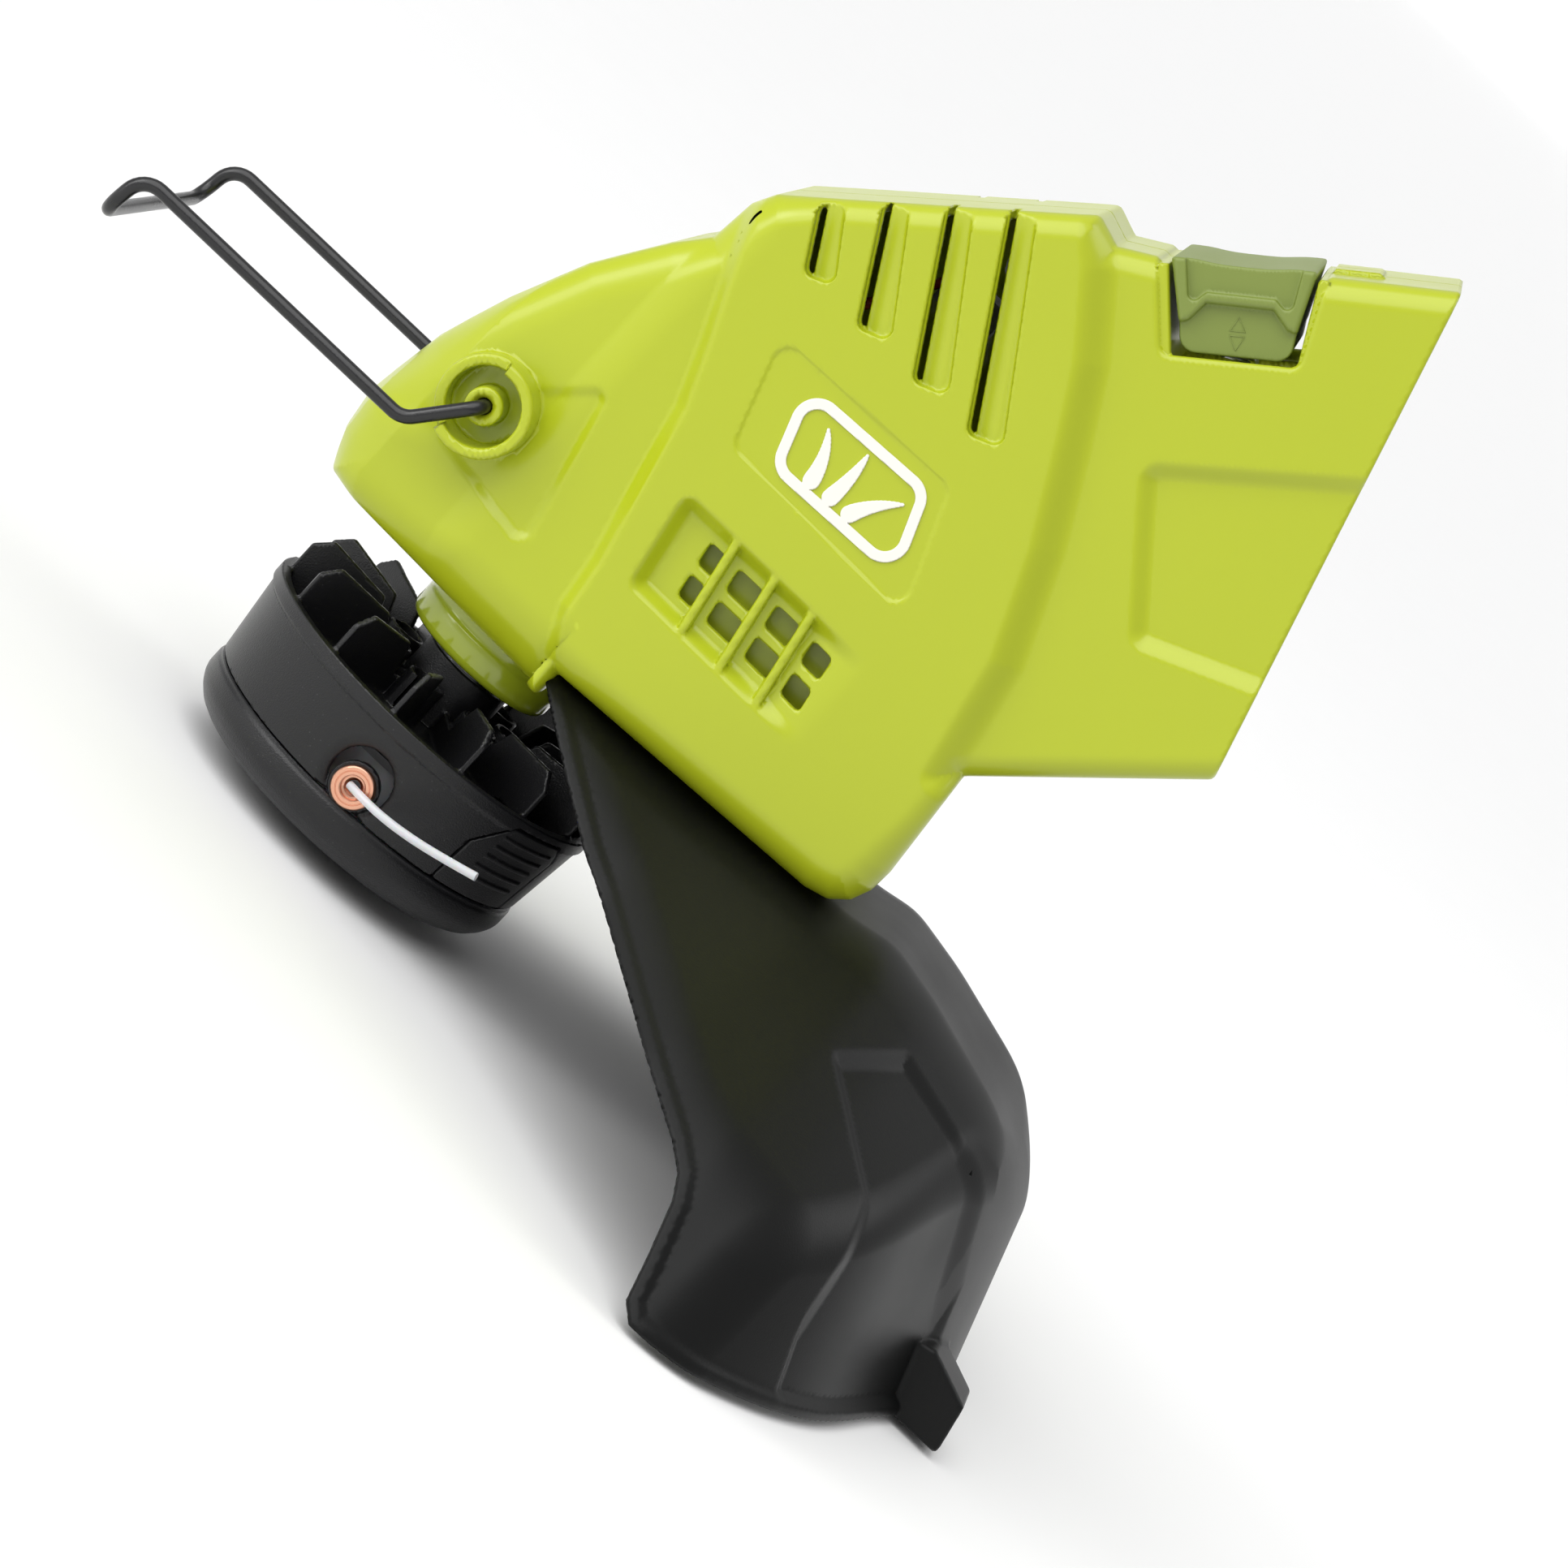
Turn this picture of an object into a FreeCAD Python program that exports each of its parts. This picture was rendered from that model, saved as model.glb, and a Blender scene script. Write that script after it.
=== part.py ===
import FreeCAD, Part
import math
import os
import re
import Sketcher
from FreeCAD import Placement, Rotation, Vector

# Cutting head of a string trimmer, in the posture of use and in millimetres.
# The origin is the centre of the bump knob's lower face. +Z runs up the spindle, +X to the rear,
# where the pole leaves, and +Y to the right side as seen from the front.

SIZES = [
    # housing outline, seen from the side: x and z of its corners
    ("nose_low_x", -53), ("nose_low_z", 70.5), ("nose_tip_x", -61), ("nose_tip_z", 86),
    ("nose_top_x", -60), ("nose_top_z", 98), ("hood_a_x", -50), ("hood_a_z", 129),
    ("hood_b_x", -41.5), ("hood_b_z", 148), ("hood_c_x", -24), ("hood_c_z", 174),
    ("hump_front_x", -20), ("hump_front_z", 190.5), ("hump_top_x", 37.5), ("hump_top_z", 237),
    ("dip_x", 44.5), ("dip_z", 234.3), ("neck_top_x", 53.5), ("neck_top_z", 239),
    ("mouth_top_x", 108.4), ("mouth_top_z", 280), ("mouth_low_x", 144.2), ("mouth_low_z", 160.9),
    ("throat_x", 102.3), ("throat_z", 121.8), ("heel_x", 105.3), ("heel_z", 90),
    ("heel_low_x", 102), ("heel_low_z", 81), ("belly_rear_x", 94), ("belly_rear_z", 77.8),
    ("belly_front_x", 18), ("belly_front_z", 74.4), ("floor_z", 67),
    # housing, seen from above: half widths
    ("body_half_width", 45), ("hood_half_width", 41), ("neck_half_width", 40),
    ("hood_end_x", 0), ("hood_step", 9), ("crease_top_x", 45), ("crease_top_z", 229),
    ("crease_mid_x", 69.4), ("crease_mid_z", 193.5), ("crease_low_x", 97), ("crease_low_z", 119),
    ("shell_wall", 2.6),
    # screws that close the housing
    ("screw_radius", 1.6), ("screw_head_radius", 3.2), ("screw_head_depth", 2.4),
    ("post_radius", 4), ("screw_gap", 0.05), ("screw_bite", 12),
    # vents and grille
    ("vent_low_x", -0.9), ("vent_low_z", 181.5), ("vent_pitch", 16.8), ("vent_width", 3.5),
    ("vent_top_x", -8.6), ("vent_top_z", 196), ("vent_top_pitch", 11.2), ("vent_top_rise", 9.7),
    ("grille_x", 20.5), ("grille_z", 106.5), ("grille_pitch_x", 13), ("grille_pitch_z", 9),
    ("grille_open_x", 8.6), ("grille_open_z", 5.6),
    # side badge
    ("badge_x", 35), ("badge_z", 154.5), ("badge_length", 40), ("badge_height", 20),
    ("badge_thick", 0.5),
    # edge guard: one bent wire, and the cup that it pivots in
    ("wire_radius", 1.75), ("pivot_x", -35.8), ("pivot_z", 109.3), ("guard_half_width", 49),
    ("arm_end_x", -47.5), ("leg_z", 94.8), ("leg_end_x", -128.2), ("tip_x", -130), ("tip_z", 82.5),
    ("wire_bend", 6), ("pivot_bend", 3.5), ("wire_pin_depth", 12), ("running_gap", 0.08),
    ("cup_ring_radius", 11.9), ("cup_ring_inner", 9.3), ("cup_ring_reach", 1),
    ("pivot_boss_radius", 4.6), ("pivot_boss_gap", 0.75), ("cup_open_from", 101), ("cup_open_to", 243),
    # lock button and its window: corners of the window seen from the side
    ("window_front_top_x", 54.1), ("window_front_top_z", 239.3), ("window_front_low_x", 69.8),
    ("window_front_low_z", 224.1), ("window_rear_low_x", 93.1), ("window_rear_low_z", 243.1),
    ("window_rear_top_x", 83.9), ("window_rear_top_z", 261.8),
    ("button_gap", 1.2), ("button_travel", 3), ("saddle_rise", 1.6), ("saddle_thick", 3.4), ("saddle_side", 2.9),
    ("pawl_length", 8), ("pawl_width", 10), ("pawl_reach", 17), ("ledge_depth", 25), ("ledge_thick", 3),
    ("ledge_length", 10), ("button_spring_radius", 3), ("spring_wire", 0.5), ("button_spring_y", 27),
    # tilting pole socket
    ("tilt_x", 83), ("tilt_z", 179), ("pole_angle", 41.7), ("pole_radius", 12.5), ("socket_gap", 0.1),
    ("socket_wall", 4.2), ("socket_length", 48), ("socket_floor", 13), ("knuckle_radius", 13),
    ("knuckle_half_width", 20), ("bush_radius", 6.5), ("pin_radius", 4), ("quadrant_radius", 42),
    ("quadrant_thick", 8), ("quadrant_from", 62), ("quadrant_sweep", 76), ("notch_radius", 2.4),
    ("notch_pitch", 10), ("pin_boss_radius", 8), ("pin_half_length", 33), ("knuckle_gap", 1.5),
    # spindle collar and motor
    ("collar_radius", 20.5), ("collar_bore", 10.5), ("collar_low", 56), ("collar_flange_radius", 24),
    ("collar_flange", 3), ("collar_seat", 77.6), ("plate_thick", 3), ("plate_radius", 30),
    ("motor_radius", 22), ("motor_length", 60), ("motor_wall", 1.2), ("bearing_radius", 8),
    ("bearing_width", 5), ("shaft_radius", 2.5), ("core_radius", 17.5), ("core_length", 34),
    ("magnet_gap", 0.7), ("commutator_radius", 6.5), ("brush_gap", 0.2), ("motor_screw_pitch", 14),
    ("lead_radius", 1.1), ("lead_bend", 9),
    # spool head
    ("rim_height", 43), ("rim_radius", 49.5), ("split_height", 18.5), ("split_radius", 46.3),
    ("cup_wall", 2.2), ("deck_top", 38.5), ("deck_thick", 2.4), ("blade_rise", 12), ("blade_thick", 1.6),
    ("blade_count", 14), ("blade_start", 8.7), ("blade_inner", 22), ("hub_radius", 12), ("hub_top", 54),
    ("drive_radius", 7), ("drive_flange_radius", 9), ("hub_gap", 0.05),
    ("eyelet_height", 23.6), ("eyelet_turn", -88), ("eyelet_radius", 5.4), ("eyelet_barrel", 3.1),
    ("eyelet_hole", 1.7), ("eyelet_flange", 1.5), ("eyelet_seat", 46), ("line_radius", 1.05),
    ("tab_turn", -34), ("tab_span", 37), ("tab_gap_turn", 1.5), ("tab_top", 40.4), ("tab_thick", 2.2),
    ("tab_window_top", 41.2), ("cover_gap", 0.3),
    ("knob_radius", 17.2), ("knob_gap", 0.4), ("knob_shoulder", 9),
    ("spool_bore", 16), ("spool_radius", 37.6), ("spool_core", 19), ("spool_flange", 1.8),
    ("spool_height", 22.6), ("feed_spring_radius", 10), ("feed_spring_wire", 0.9),
    # shield
    ("shield_wall", 2.6), ("shield_front_x", 19), ("shield_front_half", 46), ("shield_mid_x", 60),
    ("shield_kink_x", 116), ("shield_kink_half", 127),
    ("shield_corner_half", 148), ("shield_end_x", 215), ("shield_low", 2), ("shield_radius", 200),
    ("shield_lean", 19.7), ("shield_crown_z", 81.5), ("shield_crown_x", 118), ("shield_knee_x", 160),
    ("shield_knee_z", 71), ("shield_brow_x", 184), ("shield_brow_z", 55), ("shield_flat_half", 38),
    ("shield_gap", 0.1), ("cutter_y", -27.5), ("cutter_half", 13.5), ("cutter_overhang", 7),
    ("cutter_top", 20.2), ("blade_plate", 1.2), ("cutter_depth", 26),
]

doc = FreeCAD.newDocument("trimmer_head")
sizes = doc.addObject("Spreadsheet::Sheet", "sizes")
for row, (alias, value) in enumerate(SIZES, start=1):
    sizes.set("A%d" % row, alias)
    sizes.set("B%d" % row, str(value))
    sizes.setAlias("B%d" % row, alias)
doc.recompute()

ALIASES = {alias for alias, _ in SIZES}
PARTS = {}


def full(expression):
    """Put the sheet's name before every alias."""
    text = str(expression)
    return re.sub(r"[a-z][a-z_]*", lambda m: "sizes." + m.group() if m.group() in ALIASES else m.group(), text)


def number(expression):
    return float(sizes.evalExpression(full(expression)))


def bind(feature, **expressions):
    for prop, expression in expressions.items():
        feature.setExpression(prop.replace("__", "."), full(expression))
    return feature


def place(feature, at, axis=(0, 0, 1), angle="0"):
    """Turn a feature about axis, and bind its position."""
    feature.Placement = Placement(Vector(0, 0, 0), Rotation(Vector(*axis), number(angle)))
    for letter, expression in zip("xyz", at):
        feature.setExpression("Placement.Base." + letter, full(expression))
    feature.setExpression("Placement.Rotation.Angle", full("(%s) * 1 deg" % angle))
    return feature


def node(name, feature):
    """Name a finished piece. Its file takes the same name."""
    feature.Label = name
    PARTS[name] = feature
    return feature


def draw(sketch, points):
    """Draw a closed outline whose corners are bound to the sheet."""
    start = [(number(a), number(b)) for a, b in points]
    count = len(points)
    for i in range(count):
        tail = Vector(start[i][0], start[i][1], 0)
        head = Vector(start[(i + 1) % count][0], start[(i + 1) % count][1], 0)
        sketch.addGeometry(Part.LineSegment(tail, head))
    for i in range(count):
        sketch.addConstraint(Sketcher.Constraint("Coincident", i, 2, (i + 1) % count, 1))
    for i, (across, up) in enumerate(points):
        for kind, expression, value in (("DistanceX", across, start[i][0]), ("DistanceY", up, start[i][1])):
            index = sketch.addConstraint(Sketcher.Constraint(kind, -1, 1, i, 1, value))
            sketch.setExpression("Constraints[%d]" % index, full(expression))
    return sketch


def side_sketch(name, points):
    """An outline in the XZ plane, for extrusions along Y."""
    sketch = doc.addObject("Sketcher::SketchObject", name)
    sketch.Placement = Placement(Vector(0, 0, 0), Rotation(Vector(1, 0, 0), 90))
    return draw(sketch, points)


def plane_of(body, role):
    return [f for f in body.Origin.OriginFeatures if f.Role == role][0]


def body_sketch(body, name, points, plane, offset="0"):
    sketch = body.newObject("Sketcher::SketchObject", name)
    sketch.AttachmentSupport = [(plane_of(body, plane), "")]
    sketch.MapMode = "FlatFace"
    sketch.setExpression("AttachmentOffset.Base.z", full(offset))
    return draw(sketch, points)


def turned(name, points, sweep="360", about="V_Axis"):
    """A piece turned about its own Z axis, or about X with H_Axis. Points are x and z."""
    body = doc.addObject("PartDesign::Body", name)
    sketch = body_sketch(body, name + "_section", points, "XZ_Plane")
    spin = body.newObject("PartDesign::Revolution", name + "_turn")
    spin.Profile = sketch
    spin.ReferenceAxis = (sketch, [about])
    bind(spin, Angle=sweep)
    return body


def slab(name, points, low, thick, plane="XY_Plane"):
    """A padded outline, from height low along the plane's normal."""
    body = doc.addObject("PartDesign::Body", name)
    sketch = body_sketch(body, name + "_outline", points, plane, low)
    pad = body.newObject("PartDesign::Pad", name + "_pad")
    pad.Profile = sketch
    bind(pad, Length=thick)
    return body


def extruded(name, base, direction, length, back="0"):
    feature = doc.addObject("Part::Extrusion", name)
    feature.Base = base
    feature.DirMode = "Custom"
    feature.Dir = Vector(*direction)
    feature.Solid = True
    bind(feature, LengthFwd=length, LengthRev=back)
    return feature


def inset(name, base, distance):
    feature = doc.addObject("Part::Offset2D", name)
    feature.Source = base
    feature.Mode = "Pipe"
    feature.Join = "Intersection"
    bind(feature, Value="-(%s)" % distance)
    return feature


def cylinder(name, radius, height, at, axis=(0, 0, 1), angle="0", sweep=None):
    feature = doc.addObject("Part::Cylinder", name)
    bind(feature, Radius=radius, Height=height)
    if sweep:
        bind(feature, Angle=sweep)
    return place(feature, at, axis, angle)


def along_y(name, radius, x, z, y_from, y_to, sweep=None):
    """A cylinder parallel to Y, from y_from to the larger y_to."""
    height = "(%s) - (%s)" % (y_to, y_from)
    return cylinder(name, radius, height, (x, y_from, z), (1, 0, 0), "-90", sweep)


def block(name, length, width, height, at, axis=(0, 1, 0), angle="0"):
    feature = doc.addObject("Part::Box", name)
    bind(feature, Length=length, Width=width, Height=height)
    return place(feature, at, axis, angle)


def cut(name, base, *tools):
    """Take every tool away from base."""
    result = doc.addObject("Part::Cut", name)
    result.Base = base
    result.Tool = tools[0] if len(tools) == 1 else join(name + "_tools", *tools)
    return result


def common(name, base, tool):
    result = doc.addObject("Part::Common", name)
    result.Base = base
    result.Tool = tool
    return result


def join(name, *pieces):
    result = doc.addObject("Part::MultiFuse", name)
    result.Shapes = list(pieces)
    return result


def group(name, *pieces):
    result = doc.addObject("Part::Compound", name)
    result.Links = list(pieces)
    return result


def mirrored(name, base):
    result = doc.addObject("Part::Mirroring", name)
    result.Source = base
    result.Normal = Vector(0, 1, 0)
    return result


def shaped(name, shape):
    feature = doc.addObject("Part::Feature", name)
    feature.Shape = shape
    return feature


RUN_SHARE = 0.45


def widest_bend(points, i):
    """Radius of the largest arc at a point of a path: it uses up a share of the shorter run."""
    half = (points[i] - points[i - 1]).getAngle(points[i + 1] - points[i]) / 2
    shorter = min((points[i] - points[i - 1]).Length, (points[i + 1] - points[i]).Length)
    return RUN_SHARE * shorter / math.tan(half)


def rounded_path(points, bends=None):
    """Straight runs joined by tangent arcs: of the radii in bends, or as large as the runs allow."""
    edges = []
    start = points[0]
    for i in range(1, len(points) - 1):
        before = (points[i] - points[i - 1]).normalize()
        after = (points[i + 1] - points[i]).normalize()
        half = before.getAngle(after) / 2
        radius = widest_bend(points, i)
        if bends:
            radius = min(radius, bends[i - 1])
        trim = radius * math.tan(half)
        enter = points[i] - before * trim
        leave = points[i] + after * trim
        inward = (after - before).normalize()
        middle = points[i] + inward * (radius / math.cos(half) - radius)
        edges.append(Part.LineSegment(start, enter).toShape())
        edges.append(Part.Arc(enter, middle, leave).toShape())
        start = leave
    edges.append(Part.LineSegment(start, points[-1]).toShape())
    return Part.Wire(edges)


def tube(points, radius, bends=None):
    path = rounded_path(points, bends)
    direction = (points[1] - points[0]).normalize()
    ring = Part.Wire(Part.makeCircle(radius, points[0], direction))
    return path.makePipeShell([ring], True, True)


def coil(radius, wire, height, turns, base, direction):
    """A compression spring standing on base."""
    spring = Part.makeHelix((height - 2 * wire) / turns, height - 2 * wire, radius)
    ring = Part.Wire(Part.makeCircle(wire, Vector(radius, 0, 0), Vector(0, 1, 0)))
    solid = Part.Wire(spring).makePipeShell([ring], True, True)
    solid.translate(Vector(0, 0, wire))
    solid.Placement = Placement(base, Rotation(Vector(0, 0, 1), direction)).multiply(solid.Placement)
    return solid


# Housing: a side outline and a plan outline, extruded and intersected, less the same pair set in by the wall.

def corner(name):
    return (name + "_x", name + "_z")


def housing_outline(mouth_push):
    """Corners of the housing seen from the side. The mouth can be pushed out along the pole."""
    push_x = " + %s * cos(pole_angle)" % mouth_push
    push_z = " + %s * sin(pole_angle)" % mouth_push
    return [
        corner("nose_low"), corner("nose_tip"), corner("nose_top"), corner("hood_a"), corner("hood_b"),
        corner("hood_c"), corner("hump_front"), corner("hump_top"), corner("dip"), corner("neck_top"),
        ("mouth_top_x" + push_x, "mouth_top_z" + push_z), ("mouth_low_x" + push_x, "mouth_low_z" + push_z),
        corner("throat"), corner("heel"), corner("heel_low"), corner("belly_rear"), corner("belly_front"),
        ("belly_front_x", "floor_z"),
    ]


PLAN_HALF = [
    ("nose_tip_x - 6", "hood_half_width * 0.3"),
    ("nose_tip_x + 1", "hood_half_width * 0.62"),
    ("nose_tip_x + 13", "hood_half_width * 0.87"),
    ("nose_tip_x + 34", "hood_half_width"),
    ("hood_end_x", "hood_half_width"),
    ("hood_end_x + hood_step", "body_half_width"),
    ("mouth_low_x + 40", "body_half_width"),
]
plan_points = [(x, "-(%s)" % y) for x, y in PLAN_HALF] + [(x, y) for x, y in reversed(PLAN_HALF)]
span = "body_half_width + 15"
plan_top = "mouth_top_z + 40"

side_outer = side_sketch("housing_side", housing_outline("0"))
side_inner = inset("cavity_side", side_sketch("cavity_outline", housing_outline("20")), "shell_wall")
plan_outer = draw(doc.addObject("Sketcher::SketchObject", "housing_plan"), plan_points)
plan_inner = inset("cavity_plan", plan_outer, "shell_wall")
cheek = side_sketch("neck_cheek", [
    ("crease_top_x", "mouth_top_z + 60"),
    corner("crease_top"),
    corner("crease_mid"),
    corner("crease_low"),
    ("mouth_low_x + 60", "crease_low_z"),
    ("mouth_low_x + 60", "mouth_top_z + 60"),
])


def narrowed(name, side, plan, cheek_base, cheek_half):
    """The side and plan outlines intersected, and cut narrower beside the neck."""
    body = common(
        name + "_body",
        extruded(name + "_side", side, (0, -1, 0), span),
        extruded(name + "_plan", plan, (0, 0, 1), plan_top),
    )
    return cut(name, body, extruded(name + "_cheek", cheek_base, (0, -1, 0), "body_half_width + 20",
                                    "-(%s)" % cheek_half))


housing_block = narrowed("housing_block", side_outer, plan_outer, cheek, "neck_half_width")
cavity_block = narrowed("cavity_block", side_inner, plan_inner, inset("cheek_outset", cheek, "-shell_wall"),
                        "neck_half_width - shell_wall")
bare_shell = cut("bare_shell", housing_block, cavity_block)

neck_angle = ("atan2(window_rear_top_z - window_front_top_z;"
              " window_rear_top_x - window_front_top_x) / 1 deg")
neck_cos = "cos(%s)" % neck_angle
neck_sin = "sin(%s)" % neck_angle
neck_mid_x = "(window_front_top_x + window_rear_top_x) / 2"
neck_mid_z = "(window_front_top_z + window_rear_top_z) / 2"


def on_neck(along, out):
    """A point beside the middle of the window's top edge: along the neck, and out from it."""
    x = "%s + (%s) * %s - (%s) * %s" % (neck_mid_x, along, neck_cos, out, neck_sin)
    z = "%s + (%s) * %s + (%s) * %s" % (neck_mid_z, along, neck_sin, out, neck_cos)
    return x, z


screw_spots = {
    "nose": ("nose_tip_x + 17", "nose_tip_z + 6"),
    "hood": ("hood_c_x + 10", "hood_c_z - 2"),
    "hump": ("hump_top_x - 7.5", "hump_top_z - 25"),
    "belly": ("belly_front_x + 42", "belly_front_z + 21.6"),
    "heel": ("heel_x - 11.3", "heel_z + 6"),
    "throat": ("mouth_low_x - 16.2", "mouth_low_z + 5.1"),
    "neck": ("mouth_top_x - 10.4", "mouth_top_z - 18"),
}
posts = []
for spot, (x, z) in screw_spots.items():
    posts.append(along_y("post_" + spot, "post_radius", x, z, "-(%s)" % span, "0"))
posts.append(along_y("pin_boss", "pin_boss_radius", "tilt_x", "tilt_z", "-(%s)" % span,
                     "-(knuckle_half_width + knuckle_gap)"))
posts.append(along_y("pivot_inner_boss", "pivot_boss_radius", "pivot_x", "pivot_z", "-(%s)" % span,
                     "-(guard_half_width - wire_pin_depth - 2.5)"))
plate_top = "collar_seat + collar_flange + plate_thick"
posts.append(block("plate_rib", "2 * plate_radius", "12", "shell_wall",
                   ("-plate_radius", "-(hood_half_width - 1)", plate_top + " + 0.2")))
ledge_x, ledge_z = on_neck("-ledge_length / 2", "-(ledge_depth + ledge_thick)")
posts.append(block("spring_ledge", "ledge_length", "neck_half_width - button_spring_y + 6", "ledge_thick",
                   (ledge_x, "-(neck_half_width - 1)", ledge_z), angle="-(%s)" % neck_angle))
shield_spots = [("shield_mid_x - 22", "0"), ("shield_mid_x + 25", "-25"), ("shield_mid_x + 25", "25")]


def belly(x):
    """Height of the housing's underside at x."""
    slope = "(belly_rear_z - belly_front_z) / (belly_rear_x - belly_front_x)"
    return "belly_front_z + %s * (%s - belly_front_x)" % (slope, x)


shield_pilots = []
for i, (x, y) in enumerate(shield_spots[:2]):
    posts.append(cylinder("shield_post_%d" % i, "post_radius", "10", (x, y, belly(x))))
    shield_pilots.append(cylinder("shield_pilot_%d" % i, "screw_radius", "9", (x, y, belly(x) + " - 1")))
inner_fittings = common("inner_fittings", join("posts", *posts), housing_block)


ring_face = "-(guard_half_width + cup_ring_reach)"


def from_pivot(radius, angle):
    return ("pivot_x + (%s) * cos(%s)" % (radius, angle), "pivot_z + (%s) * sin(%s)" % (radius, angle))


opening = side_sketch("ring_opening_outline", [
    ("pivot_x", "pivot_z"),
    from_pivot("2 * cup_ring_radius", "cup_open_from"),
    from_pivot("3 * cup_ring_radius", "(cup_open_from + cup_open_to) / 2"),
    from_pivot("2 * cup_ring_radius", "cup_open_to"),
])
arm_low = "guard_half_width - wire_radius - pivot_boss_gap"
ring_opening = cut(
    "ring_opening",
    extruded("ring_opening_all", opening, (0, -1, 0), "guard_half_width + 10"),
    extruded("ring_opening_rest", opening, (0, -1, 0), "hood_half_width + 3"),
)
pivot_ring = cut(
    "pivot_ring",
    along_y("ring_body", "cup_ring_radius", "pivot_x", "pivot_z", ring_face, "-(hood_half_width - 1)"),
    along_y("ring_hollow", "cup_ring_inner", "pivot_x", "pivot_z", ring_face + " - 1", "-hood_half_width"),
    ring_opening,
)
pivot_boss = along_y("pivot_boss", "pivot_boss_radius", "pivot_x", "pivot_z", "-(%s)" % arm_low,
                     "-(hood_half_width - 1)")
pivot_hole = along_y("pivot_hole", "wire_radius + running_gap", "pivot_x", "pivot_z", ring_face,
                     "-(guard_half_width - wire_pin_depth - 4)")
pivot_mouth = doc.addObject("Part::Cone", "pivot_mouth")
bind(pivot_mouth, Radius1="pivot_boss_radius - 0.5", Radius2="wire_radius + running_gap", Height="2.6")
place(pivot_mouth, ("pivot_x", "-(%s)" % arm_low, "pivot_z"), (1, 0, 0), "-90")

vents = []
for i in range(4):
    low_x = "vent_low_x + vent_pitch * %d" % i
    top_x = "vent_top_x + vent_top_pitch * %d" % i
    top_z = "vent_top_z + vent_top_rise * %d" % i
    outline = side_sketch("vent_%d_outline" % i, [
        (low_x, "vent_low_z"),
        (low_x + " + vent_width", "vent_low_z"),
        (top_x + " + vent_width", top_z),
        (top_x, top_z),
    ])
    vents.append(extruded("vent_%d" % i, outline, (0, -1, 0), span, "-(body_half_width - 8)"))
for column in range(4):
    for line in range(2):
        vents.append(block("grille_%d_%d" % (column, line), "grille_open_x", "20", "grille_open_z",
                           ("grille_x + grille_pitch_x * %d" % column, "-(body_half_width + 10)",
                            "grille_z + grille_pitch_z * %d" % line)))

window_outline = side_sketch("window_outline", [
    ("window_front_top_x - saddle_rise * %s" % neck_sin, "window_front_top_z + saddle_rise * %s" % neck_cos),
    corner("window_front_low"),
    corner("window_rear_low"),
    ("window_rear_top_x - saddle_rise * %s" % neck_sin, "window_rear_top_z + saddle_rise * %s" % neck_cos),
])
window = extruded("window", window_outline, (0, -1, 0), span)
collar_hole = cylinder("collar_hole", "collar_radius + 0.2", "collar_seat - collar_low",
                       ("0", "0", "collar_low + 0.5"))
pin_hole = along_y("pin_hole", "pin_radius + 0.05", "tilt_x", "tilt_z", "-pin_half_length", "0")

shell_form = join("shell_form", bare_shell, inner_fittings, pivot_ring, pivot_boss)
shell_openings = [pivot_hole, pivot_mouth, window, collar_hole, pin_hole] + shield_pilots + vents
left_pilots = []
right_holes = []
for spot, (x, z) in screw_spots.items():
    left_pilots.append(along_y("pilot_" + spot, "screw_radius", x, z, "-screw_bite - 1", "0"))
    right_holes.append(along_y("hole_" + spot, "screw_radius + screw_gap", x, z, "0", span))
    right_holes.append(along_y("sink_" + spot, "screw_head_radius + 0.4", x, z, "screw_bite", span))
shell_cut = cut("shell_cut", shell_form, *shell_openings)
node("housing_left", cut("housing_left", shell_cut, *left_pilots))
node("housing_right", cut("housing_right", mirrored("shell_mirror", shell_cut), *right_holes))

screws = []
for spot, (x, z) in screw_spots.items():
    shank = along_y("shank_" + spot, "screw_radius", x, z, "-screw_bite", "screw_bite")
    head = along_y("head_" + spot, "screw_head_radius", x, z, "screw_bite", "screw_bite + screw_head_depth")
    screws.append(join("screw_" + spot, shank, head))
node("housing_screws", group("housing_screws", *screws))

badges = []
badge_corners = [
    ("badge_x - badge_length / 2", "badge_z + badge_height / 2"),
    ("badge_x + badge_length / 2 - 4", "badge_z + badge_height / 2"),
    ("badge_x + badge_length / 2 + 4", "badge_z - badge_height / 2"),
    ("badge_x - badge_length / 2 + 4", "badge_z - badge_height / 2"),
]
badge_outline = side_sketch("badge_outline", badge_corners)
badge_left = extruded("badge_left", badge_outline, (0, -1, 0), "body_half_width + badge_thick",
                      "-body_half_width")
node("side_badges", group("side_badges", badge_left, mirrored("badge_right", badge_left)))

# Spindle collar and motor, stacked up the spindle.

collar_ring = turned("collar_ring", [
    ("collar_bore", "collar_low"),
    ("collar_radius - 1.5", "collar_low"),
    ("collar_radius", "collar_low + 1.5"),
    ("collar_radius", "collar_seat"),
    ("collar_flange_radius", "collar_seat"),
    ("collar_flange_radius", "collar_seat + collar_flange"),
    ("collar_bore", "collar_seat + collar_flange"),
])
plate_low = "collar_seat + collar_flange"
node("spindle_collar", cut("spindle_collar", collar_ring, *[
    cylinder("collar_pocket_%d" % side, "screw_head_radius", "4",
             ("motor_screw_pitch * %d" % side, "0", plate_low + " - 2"))
    for side in (-1, 1)
]))
plate_disc = turned("plate_disc", [
    ("bearing_radius + 1.4", plate_low),
    ("plate_radius", plate_low),
    ("plate_radius", plate_top),
    ("bearing_radius + 1.4", plate_top),
])
motor_screw_holes = [
    cylinder("plate_hole_%d" % side, "screw_radius", "plate_thick + 2",
             ("motor_screw_pitch * %d" % side, "0", plate_low + " - 1"))
    for side in (-1, 1)
]
node("motor_plate", cut("motor_plate", plate_disc, *motor_screw_holes))
can_top = plate_top + " + motor_length"
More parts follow.
